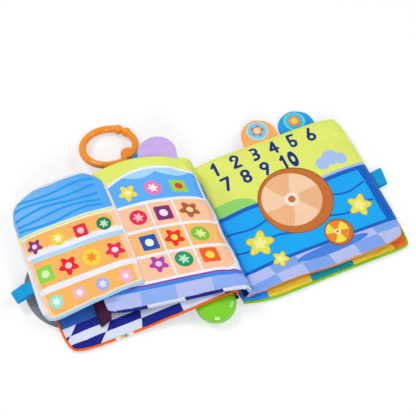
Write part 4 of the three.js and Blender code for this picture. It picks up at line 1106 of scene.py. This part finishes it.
def module_green():
    """Glossy green with three fine moulded lines round the low end."""
    f = Finish("module_green_plastic")
    spot = f.place_in_space()
    flow = f.noise(spot, 0.02, 2.0)
    base = f.brighter("#80DC10", (flow - 0.5) * 0.1 + 1.0)
    x, y, _ = f.split(spot.vector("SUBTRACT", (-27.0, -67.5, 0)))
    away = f.join(x, y.sum("MINIMUM", 0.0)).length()
    lines = f.fill(0.28 - abs(abs(away - 15.6) - 1.3), 0.14) + f.fill(0.28 - abs(away - 15.6), 0.14)
    height = f.noise(spot, 0.3, 2.0) * 0.15 - lines
    return f.finish(
        base, f.noise(spot, 0.3) * 0.06 + 0.1, height, 0.5, 0.35, Coat_Weight=0.6, Coat_Roughness=0.05,
    )


# Pads
def by_point(a, b, middle):
    return middle[:, 0], middle[:, 1]


def leaf_plan(a, b, middle):
    distance = -middle[:, 0]
    bulge = LEAF_BULGE * np.sin(np.pi * clamp(distance / 100))
    v = (middle[:, 1] - LEAF_FAN * distance - LEAF_BOTTOM) / (LEAF_TOP - LEAF_BOTTOM + bulge)
    return distance, mix(LEAF_BOTTOM, LEAF_TOP, v)


def flap_plan(a, b, middle):
    u = -middle[:, 0] - FLAP_HINGE
    s = clamp(u / (FLAP_FORE_BOTTOM - FLAP_HINGE))
    low, high = FLAP_BOTTOM - FLAP_DROP * s, FLAP_TOP + FLAP_RISE * s
    return u, mix(FLAP_BOTTOM, FLAP_TOP, (middle[:, 1] - low) / (high - low))


def cover_plan(a, b, middle):
    distance = -middle[:, 0]
    return distance, middle[:, 1] - np.interp(distance, LEFT_COVER_LOW_PLACES, LEFT_COVER_LOW_EDGE)


CELLS = (46, 46)


def cover_half(full):
    """Thin beside the spine, and full over the cover."""
    def half(a, b):
        return mix(1.5, pillow(full)(a, b), smooth((a + 1) / 0.24))
    return half


back_cover = pad(
    "back_cover_pad", right_cover_lie, cover_half(RIGHT_COVER_HALF), cover_half(RIGHT_COVER_HALF - 0.7),
    CELLS, by_point, (82, 80), 11, rise=(0.3, 0.0),
)
dress(
    back_cover,
    cloth("patchwork_cloth", paint_patches, stitched=False),
    cloth("outer_lime_cloth", paint_dots("#8CD830", "#C8F07C")),
    plain_cloth("patchwork_edge", "#F2B420"),
)
settle(back_cover, "back_cover")


def page_half(a, b):
    """Thin in the gutter, and full over the page."""
    full = pillow(RIGHT_PAGE_HALF)(np.maximum(0, a), b)
    return mix(0.95, full, smooth((a - PAGE_TURN) / 0.4))


right_page = pad(
    "right_page_pad", right_page_lie, page_half, page_half,
    (56, 48), by_point, (84, 78), 21, rise=(1.3, 0.0), open_side=-1,
)
dress(
    right_page,
    cloth("page_print_cloth", paint_right_page, piping="#EE8A34"),
    cloth("page_back_cloth", paint_dots("#3C9CF0", "#A8D4FC")),
    cloth("page_edge_cloth_with_painted_shade", paint_page_edge_with_shade, stitched=False),
)
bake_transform(right_page)
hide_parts("right_page", "right_page_gusset")

front_cover = pad(
    "front_cover_pad", left_cover_lie, pillow(LEFT_COVER_HALF), pillow(LEFT_COVER_HALF),
    CELLS, cover_plan, (78, 76), 31, rise=(0.5, 0.0),
)
dress(
    front_cover,
    cloth("navy_check_cloth", paint_check_cover, stitched=False),
    cloth("outer_blue_cloth", paint_dots("#1E78E0", "#8CC4FC")),
    plain_cloth("navy_edge", NAVY),
)
settle(front_cover, "front_cover")


# The left page goes on over its crest and down to the spine
CREST_FROM = 0.6
CREST_SHARE = 0.6
CREST_PLACES = (0.0, 0.08, 0.2, 0.38)
CREST_BULGES = (-1.5, 0.3, 1.5, 1.0)


def crest_section(v):
    high = leaf_top(LEAF_INNER, v) - LEAF_HALF
    foot = SEAM_HALF + 4.1
    bulge = np.interp(v, CREST_PLACES, CREST_BULGES)
    ends = [
        (-LEAF_INNER, high), (8.9 + bulge, high + 1.1),
        (10.0 + bulge, mix(foot, high, 1 / 3)), (1.1, foot),
    ]
    return [np.stack(np.broadcast_arrays(x, z), -1) for x, z in ends]


def crest_point(share, v):
    spot = bezier(crest_section(v), clamp(share))
    return spot[..., 0], leaf_height(np.maximum(-spot[..., 0], -12.0), v), spot[..., 1]


def crest_run(share):
    """Length along the crest, for the print that runs over it."""
    steps = np.linspace(0, 1, 200)
    line = bezier(crest_section(np.full(200, 0.5)), steps)
    run = np.concatenate([[0], np.cumsum(np.linalg.norm(np.diff(line, axis=0), axis=1))])
    return np.interp(share, steps, run)


def whole_leaf_lie(a, b):
    a, b = np.broadcast_arrays(a, b)
    flat = leaf_lie(np.minimum(1, (a + 1) / (CREST_FROM + 1) * 2 - 1), b)
    share = (a - CREST_FROM) / (1 - CREST_FROM) * CREST_SHARE
    over = crest_point(np.maximum(0, share), (b + 1) / 2)
    return [np.where(a < CREST_FROM, p, q) for p, q in zip(flat, over)]


def whole_leaf_plan(a, b, middle):
    flat = leaf_plan(a, b, middle)
    share = np.maximum(0, (a - CREST_FROM) / (1 - CREST_FROM)) * CREST_SHARE
    u = np.where(a < CREST_FROM, flat[0], LEAF_INNER - crest_run(share))
    return u, np.where(a < CREST_FROM, flat[1], mix(LEAF_BOTTOM, LEAF_TOP, (b + 1) / 2))


def leaf_half(full, deep=0.0):
    """Full over the page and thin over the crest, with a rolled hem at the bottom."""
    def half(a, b):
        base = pillow(full)(np.minimum(0, a), b)
        base = mix(base, SEAM_HALF, smooth((a - CREST_FROM) / (1 - CREST_FROM)))
        return np.maximum(base, deep * smooth((-b - 0.95) / 0.04))
    return half


LEAF_CELLS = (62, 50)

leaf = pad(
    "left_page_pad", whole_leaf_lie, leaf_half(LEAF_HALF), leaf_half(LEAF_HALF, 3.4),
    LEAF_CELLS, whole_leaf_plan, (75, 78), 41, rise=(1.3, 0.6), open_side=1,
)
dress(
    leaf,
    cloth("leaf_print_cloth", paint_leaf, stitched=False),
    cloth("leaf_back_cloth", paint_under_check(NAVY), stitched=False),
    cloth("leaf_edge_cloth", paint_under_check("#8CBCF6"), stitched=False),
)
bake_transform(leaf)
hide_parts("left_page", "left_page_gusset")


def leaf_wall_lie(a, b):
    share = mix(CREST_SHARE - 0.03, 1.0, (np.asarray(a) + 1) / 2)
    return crest_point(share, (np.asarray(b) + 1) / 2)


def gutter_plan(a, b, middle):
    return middle[:, 0], middle[:, 1]


def even(half):
    """One thickness all over."""
    return lambda a, b: 0 * a + half


leaf_wall = pad(
    "left_page_wall", leaf_wall_lie, even(0.9), even(0.9), (12, 60), gutter_plan, (10, 76), 81,
    rise=(0.3, 0.0),
)
dress(
    leaf_wall,
    cloth("leaf_wall_cloth", paint_wall, stitched=False),
    plain_cloth("leaf_wall_back", "#0A1A6E"),
    plain_cloth("leaf_wall_edge", "#BFD0F8"),
)
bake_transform(leaf_wall)

flap = pad(
    "door_flap_pad", flap_lie, pillow(FLAP_HALF), pillow(FLAP_HALF),
    CELLS, flap_plan, (49, 66), 51, rise=(1.1, 0.2),
)
dress(
    flap,
    cloth("flap_print_cloth", paint_flap, thread="#FFFFFF"),
    cloth("flap_back_cloth", paint_dots("#BFE4FC", "#F4FAFF")),
    plain_cloth("flap_edge", "#A9DCFA"),
)
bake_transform(flap)
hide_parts("door_flap")


# Spine cloths
SPINE_INNER = -3.4
SPINE_REACH = 73.5
SPINE_MIDDLE = 4.5
SPINE_LEVEL = 1.9


def spine_lie(a, b):
    x = mix(-SPINE_HALF, SPINE_INNER, (a + 1) / 2)
    return x, b * SPINE_REACH + SPINE_MIDDLE, np.full_like(a, SPINE_LEVEL)


HINGE_SECTION = [(-9.1, 17.75), (-3.7, 18.85), (-4.8, 11.0), (-5.9, 4.1)]


def hinge_cloth_lie(a, b):
    spot = bezier(HINGE_SECTION, clamp((a + 1) / 2))
    past = np.sign(a) * np.maximum(0, np.abs(a) - 1)
    return spot[..., 0] + past * 0.5, mix(-66.6, 76.0, (b + 1) / 2), spot[..., 1] - past * 0.3


spine = pad(
    "spine_pad", spine_lie, pillow(1.9), pillow(1.9), (8, 60), gutter_plan, (7, 76), 91, rise=(0.1, 0.0),
)
dress(
    spine,
    plain_cloth("spine_navy", "#0A1C78"),
    plain_cloth("spine_outer_lime", "#8CD830"),
    plain_cloth("spine_edge", "#0A1C78"),
)
settle(spine, "spine_panel")

hinge_cloth = pad(
    "front_cover_hinge_cloth", hinge_cloth_lie, even(0.95), even(0.95), (16, 60), gutter_plan, (8, 70), 71,
    rise=(0.2, 0.0),
)
dress(
    hinge_cloth,
    plain_cloth("hinge_navy", "#08145A"),
    plain_cloth("hinge_outer_blue", "#1E78E0"),
    plain_cloth("hinge_navy_edge", "#08145A"),
)
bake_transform(hinge_cloth)
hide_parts("cover_hinge_cloth")


# Bindings
def border(lie, fore, steps=120):
    """The line round three sides of a cover, from its spine and back to it."""
    shares = np.linspace(-1, 1, steps)
    legs = [
        np.stack([shares * fore, -np.ones(steps)], -1),
        np.stack([np.full(steps, float(fore)), shares], -1)[1:-1],
        np.stack([-shares * fore, np.ones(steps)], -1),
    ]
    line = np.concatenate(legs)
    return points_of(lie, line[:, 0], line[:, 1])


lime_tape = tape("back_cover_tape", border(right_cover_lie, 1), 1, 1.3, 1.5, 0.5)
dress(lime_tape, ribbed("lime_tape_cloth", "#8CCB1E", 1.3))
settle(lime_tape, "back_cover_binding")

cover_line = border(left_cover_lie, -1)
curl = bezier(HINGE_SECTION, np.linspace(0.75, 0.05, 24))
curl = np.stack([curl[:, 0], np.full(24, -66.8), curl[:, 1]], -1)
orange_tape = tape("front_cover_tape", np.concatenate([curl, cover_line]), -1, 1.15, 1.4, 0.7, len(curl))
dress(orange_tape, cloth("orange_tape_cloth", paint_orange_tape, stitched=False))
settle(orange_tape, "front_cover_binding")


# Tabs
TAB_TAPER = 0.84


def tab_lie(base, out, droop, half_width, reach):
    """A rounded tongue that stands out of an edge."""
    ahead = np.array([out[0], out[1], 0.0]) / math.hypot(*out)
    aside = np.array([ahead[1], -ahead[0], 0.0])

    def plan(a, b):
        share = clamp((b + 1) / 2)
        width = np.sqrt(np.maximum(0.02, 1 - TAB_TAPER * share ** 3.4))
        return a * half_width * width, share * (1 - 0.1 * a ** 2) * reach, share

    def lie(a, b):
        across, along, share = plan(a, b)
        spot = np.asarray(base) + across[..., None] * aside + along[..., None] * ahead
        return spot[..., 0], spot[..., 1], spot[..., 2] - droop * share ** 2
    return lie, plan


TABS = (
    ("lilac_tab", "lilac_cloth", (-23.5, 82.6, 38.4), (0.3, 1), 5.0, 19.4, 30.5, ("#CDB2F0",)),
    ("orange_tab", "orange_cloth", (88.0, 77.2, 10.55), (0.04, 1), 0.0, 19.0, 28.0,
     ("#FFB05C", "#A6E4F8", "#7CCDF4", "#C87A3C", "#FBD3A8", 5)),
    ("blue_tab", "sky_cloth", (131.0, 78.0, 3.4), (0.02, 1), 0.0, 19.5, 26.5,
     ("#00A6F0", "#7CE0D0", "#35C6E8", "#F87A3C", "#FBD050", 8)),
)
for name, slot, base, out, droop, width, reach, inks in TABS:
    lie, plan = tab_lie(base, out, droop, width, reach)
    tab = pad(
        name + "_pad", lie, pillow(2.0), pillow(2.0), (24, 20),
        lambda a, b, middle: plan(a, b)[:2], (width, reach / 2), 101, rise=(0.6, 0.0),
    )
    front = plain_cloth(name + "_front", inks[0])
    if len(inks) > 1:
        front = cloth(name + "_print", paint_roundel(*inks, centre=reach * 0.5), rough=0.6)
    dress(tab, front, plain_cloth(name + "_back", inks[0]), plain_cloth(name + "_edge", inks[0]))
    settle(tab, name)


# Ribbons and straps
def band(name, path, aside, half_width, half, steps=60):
    """A woven band along a path, smooth between its points."""
    path = np.asarray(path, float)
    knots = np.concatenate([[0], np.cumsum(np.linalg.norm(np.diff(path, axis=0), axis=1))])
    fine = np.linspace(0, knots[-1], 400)
    line = np.stack([np.interp(fine, knots, path[:, k]) for k in range(3)], -1)
    for _ in range(50):
        line[1:-1] = (line[:-2] + 2 * line[1:-1] + line[2:]) / 4
    aside = np.asarray(aside, float) / np.linalg.norm(aside)

    def lie(a, b):
        at = (np.asarray(a) + 1) / 2 * knots[-1]
        spot = np.stack([np.interp(at, fine, line[:, k]) for k in range(3)], -1)
        spot = spot + np.asarray(b)[..., None] * aside * half_width
        return spot[..., 0], spot[..., 1], spot[..., 2]

    return strip(name, lie, half, (steps, 12), lambda a, b: ((a + 1) / 2 * knots[-1], b * half_width))


teal = ribbed("teal_ribbon_cloth", "#00A0DE", 1.1)
maroon = ribbed("maroon_webbing", "#400C30", 1.4)

right_ribbon = band(
    "right_ribbon_loop",
    [(170.5, -5, 2.3), (177, -4.6, 1.6), (183, -4.2, 1.9), (186.2, -4, 3.4),
     (184.5, -4, 5.4), (178, -4.6, 5.2), (170.5, -5, 3.5)],
    (0.1, 1, 0.12), 9.0, 0.45,
)
dress(right_ribbon, teal)
settle(right_ribbon, "right_ribbon")

flap_ribbon = band(
    "flap_ribbon_loop",
    [(-179.5, 13.5, 13.6), (-186, 12.6, 11.6), (-192, 11.2, 11.0), (-198.2, 9.6, 11.9), (-199, 9.4, 13.4),
     (-196, 10.2, 14.6), (-189, 12.2, 14.4), (-187, 12.6, 15.6), (-184, 13.0, 15.0), (-179.5, 13.5, 14.6)],
    (-0.2, 1, 0.05), 6.6, 0.45, 80,
)
dress(flap_ribbon, teal)
settle(flap_ribbon, "flap_ribbon")

closing_strap = band(
    "closing_strap_loop",
    [(-126.5, -17, 9.6), (-127.6, -27, 9.0), (-128.2, -36, 8.0), (-128.4, -42.5, 6.8), (-128.3, -45.6, 7.2),
     (-127.9, -46, 8.6), (-127.3, -42, 10.0), (-126.8, -34, 11.6), (-126.0, -26, 12.4), (-125.3, -17, 12.6)],
    (1, 0.22, 0.28), 6.1, 0.7, 80,
)
dress(closing_strap, maroon)
settle(closing_strap, "closing_strap")

STRAP_TURN = (-38.6, 107.4)
STRAP_WAY = (0.574, -0.819)
STRAP_PATH = (
    (31.0, 20.2), (22.0, 21.1), (14.0, 21.2), (9.0, 21.0), (3.6, 20.1), (0.0, 19.8),
    (-2.6, 18.5), (-3.4, 16.3), (-2.6, 14.1), (0.0, 12.9), (3.6, 13.4), (9.0, 15.2),
    (14.0, 18.2), (22.0, 19.7), (31.0, 19.0),
)
ring_strap = band(
    "ring_strap_loop",
    [(STRAP_TURN[0] + STRAP_WAY[0] * s, STRAP_TURN[1] + STRAP_WAY[1] * s, z) for s, z in STRAP_PATH],
    (-STRAP_WAY[1], STRAP_WAY[0], 0), 5.2, 0.55, 100,
)
dress(ring_strap, teal)
settle(ring_strap, "ring_strap")

BAND_SIZES = (
    (right_ribbon, (36, 18)), (flap_ribbon, (40, 13.2)),
    (closing_strap, (60, 12.2)), (ring_strap, (78, 10.4)),
)
for piece, flat in BAND_SIZES:
    [side * MM for side in flat]

# Felt disc, tucked under the fore edge of the front cover
FELT_CENTRE = (-143.0, 7.6)
FELT_RADIUS = 46.0
FELT_HALF = 0.7
FELT_CUT = -157.0
FELT_BEND_START = -172.0
FELT_BEND_LENGTH = 18.0
FELT_BEND = 2.4

deselect()
bpy.ops.mesh.primitive_circle_add(vertices=160, radius=FELT_RADIUS * MM, fill_type="NGON")
felt_disc = named("felt_disc_sheet")
lift = {"value": (0, 0, 2 * FELT_HALF * MM)}
edit(
    felt_disc,
    lambda: bpy.ops.mesh.inset(thickness=1.2 * MM),
    lambda: bpy.ops.mesh.select_all(action="SELECT"),
    lambda: bpy.ops.mesh.bisect(
        plane_co=((FELT_CUT - FELT_CENTRE[0]) * MM, 0, 0), plane_no=(1, 0, 0), clear_outer=True,
    ),
    lambda: bpy.ops.mesh.select_all(action="SELECT"),
    lambda: bpy.ops.mesh.extrude_region_move(TRANSFORM_OT_translate=lift),
    lambda: bpy.ops.mesh.select_all(action="SELECT"),
    lambda: bpy.ops.mesh.normals_make_consistent(inside=False),
    lambda: bpy.ops.mesh.subdivide(number_cuts=1),
)
spots = coordinates(felt_disc) / MM
spots[:, :2] += FELT_CENTRE
away = clamp((FELT_BEND_START - spots[:, 0]) / FELT_BEND_LENGTH)
spots[:, 2] += 0.15 + away ** 1.5 * FELT_BEND + 0.5 * away * np.sin(spots[:, 1] / 9)
place(felt_disc, spots * MM)
apply_modifier(
    felt_disc, "BEVEL", width=0.35 * MM, segments=2, limit_method="ANGLE", angle_limit=math.radians(50),
)
shade(felt_disc, 40)
dress(felt_disc, felt("grey_felt_sheet", "#8A8A90"))
settle(felt_disc, "felt_disc")

# Carry ring: a tube whose two knobs close on each other, and a round lug over the strap
RING_CENTRE = (-57.6, 134.4, 11.0)
RING_RADIUS = 27.0
RING_TUBE = 3.75
RING_TILT = math.radians(13.8)
RING_NEAR = np.array([-0.2365, -0.9716, 0.0])
RING_JOINT = math.radians(143.0)
RING_LUG = math.radians(48.0)
RING_LUG_RADIUS = 7.6
RING_LUG_DEPTH = 9.2
RING_LUG_INSET = 2.6
RING_NECK = 2.2
RING_KNOB = 5.1
RING_KNOB_PLACE = 4.9
RING_KNOB_LENGTH = 5.2
ring_down = RING_NEAR * math.cos(RING_TILT) + np.array([0, 0, math.sin(RING_TILT)])
ring_side = np.array([-RING_NEAR[1], RING_NEAR[0], 0.0])
ring_up = np.cross(ring_down, ring_side)
ring_up = ring_up * np.sign(ring_up[2])


def in_ring(turn, radius):
    """A point of the ring's plane, by its angle from the near side."""
    turn = np.asarray(turn)[..., None]
    radius = np.asarray(radius)[..., None]
    return np.asarray(RING_CENTRE) + radius * (np.cos(turn) * ring_down + np.sin(turn) * ring_side)


ring = grid("carry_ring_closed", 240, 28)
raw = coordinates(ring)
around = (raw[:, 0] + 1) * math.pi
off = np.abs((around - RING_JOINT + math.pi) % (2 * math.pi) - math.pi) * RING_RADIUS
knob = np.sqrt(np.maximum(0, 1 - ((off - RING_KNOB_PLACE) / RING_KNOB_LENGTH) ** 2))
thick = np.maximum(np.where(off < RING_KNOB_PLACE, RING_NECK, RING_TUBE), RING_KNOB * knob)
roll = (raw[:, 1] + 1) * math.pi
spots = in_ring(around, RING_RADIUS + thick * np.cos(roll)) + (thick * np.sin(roll))[:, None] * ring_up
place(ring, spots * MM)
edit(
    ring,
    lambda: bpy.ops.mesh.remove_doubles(threshold=1e-6),
    lambda: bpy.ops.mesh.select_all(action="SELECT"),
    lambda: bpy.ops.mesh.normals_make_consistent(inside=False),
)
deselect()
bpy.ops.mesh.primitive_cylinder_add(vertices=64, radius=RING_LUG_RADIUS * MM, depth=RING_LUG_DEPTH * MM)
lug = named("ring_lug")
spots = coordinates(lug) / MM
lug_centre = in_ring(RING_LUG, RING_RADIUS - RING_LUG_INSET)
spots = lug_centre + spots[:, :1] * ring_down + spots[:, 1:2] * ring_side + spots[:, 2:] * ring_up
place(lug, spots * MM)
apply_modifier(lug, "BEVEL", width=1.6 * MM, segments=4, limit_method="ANGLE", angle_limit=math.radians(50))
pick(lug, ring)
bpy.ops.object.join()
shade(ring, 40)
dress(ring, moulded("ring_orange", "#FF9600", 0.16, 0.35))
settle(ring, "carry_ring")

# Moulded and metal pieces
green = module_green()
RIGID = {
    "module_upper_shell": green,
    "module_lower_shell": green,
    "battery_door": moulded("door_green", "#6CC81C", 0.3, 0.2),
    "push_button": moulded("button_yellow", "#FFD21E", 0.2),
    "power_slider": moulded("slider_dark", "#23272F", 0.4, 0.1),
    "speaker": moulded("speaker_black", "#24262A", 0.55, 0.0, 0.2),
    "silicone_ring": moulded("silicone_clear", "#D8DDE0", 0.5, 0.0),
    "circuit_board": moulded("board_green", "#1E6B3C", 0.45, 0.1),
    "light_diode": moulded("diode_white", "#F4F4EC", 0.15),
    "battery_cell_1": moulded("cell_wrap_copper", "#B8763A", 0.3, 0.3),
    "battery_cell_2": moulded("cell_wrap_black", "#2C2E33", 0.3, 0.3),
}
steel = metal("nickel_steel", "#C9CBCE")
for name in frame["nodes"]:
    if "screw" in name or "contact" in name:
        RIGID[name] = steel
for name, finish in RIGID.items():
    node = frame["nodes"][name]
    node.data.materials.clear()
    node.data.materials.append(finish)
    shade(node, 35)


# Camera, light and ground
EYE = (-0.1986, -0.4456, 0.9053)
AIM = (0.009, 0.0341, 0.0)
LENS = 90.87
SENSOR = 36
FLOOR_SIZE = 8
FLOOR_GLOW = 1.29
SHADOW_SHARE = 0.35
SKY_LIGHT = 0.5
SKY_SEEN = 1.0
camera = bpy.data.objects.new("camera", bpy.data.cameras.new("camera"))
bpy.context.scene.collection.objects.link(camera)
camera.data.lens = LENS
camera.data.sensor_width = SENSOR
camera.location = EYE
camera.rotation_mode = "QUATERNION"
camera.rotation_quaternion = (Vector(AIM) - Vector(EYE)).to_track_quat("-Z", "Y")
bpy.context.scene.camera = camera
bpy.context.scene.view_settings.view_transform = "Standard"


def lamp(name, place_at, size, power):
    """A round soft lamp that shines at the middle of the book."""
    light = bpy.data.lights.new(name, "AREA")
    light.shape = "DISK"
    light.size = size
    light.energy = power
    made = bpy.data.objects.new(name, light)
    bpy.context.scene.collection.objects.link(made)
    made.location = place_at
    made.rotation_mode = "QUATERNION"
    made.rotation_quaternion = (-Vector(place_at)).to_track_quat("-Z", "Y")


lamp("key_lamp", (-0.5, 0.75, 1.25), 0.5, 6.8)
lamp("fill_lamp", (0.95, -0.1, 1.1), 0.6, 3.6)
lamp("front_lamp", (-0.35, -1.0, 0.8), 0.35, 3.6)

world = bpy.data.worlds.new("studio")
bpy.context.scene.world = world
world.use_nodes = True
nodes, links = world.node_tree.nodes, world.node_tree.links
nodes.clear()
path = nodes.new("ShaderNodeLightPath")
soft = nodes.new("ShaderNodeBackground")
soft.inputs["Strength"].default_value = SKY_LIGHT
bright = nodes.new("ShaderNodeBackground")
bright.inputs["Strength"].default_value = SKY_SEEN
for background in (soft, bright):
    background.inputs["Color"].default_value = (1, 1, 1, 1)
blend_node = nodes.new("ShaderNodeMixShader")
output = nodes.new("ShaderNodeOutputWorld")
links.new(path.outputs["Is Camera Ray"], blend_node.inputs[0])
links.new(soft.outputs[0], blend_node.inputs[1])
links.new(bright.outputs[0], blend_node.inputs[2])
links.new(blend_node.outputs[0], output.inputs[0])

deselect()
bpy.ops.mesh.primitive_plane_add(size=FLOOR_SIZE, location=(0, 0, 0))
floor = named("floor")
ground = Finish("floor_paper")
matt = ground.tree.nodes.new("ShaderNodeBsdfDiffuse")
matt.inputs["Color"].default_value = (0.9, 0.9, 0.91, 1)
glow = ground.tree.nodes.new("ShaderNodeEmission")
glow.inputs["Color"].default_value = (1, 1, 1, 1)
glow.inputs["Strength"].default_value = FLOOR_GLOW
ray = ground.node("ShaderNodeLightPath", output="Is Camera Ray")
merge = ground.tree.nodes.new("ShaderNodeMixShader")
ground.tree.links.new((ray * SHADOW_SHARE).socket, merge.inputs[0])
ground.tree.links.new(matt.outputs[0], merge.inputs[1])
ground.tree.links.new(glow.outputs[0], merge.inputs[2])
ground.tree.links.new(merge.outputs[0], ground.out.inputs["Surface"])
dress(floor, ground.material)
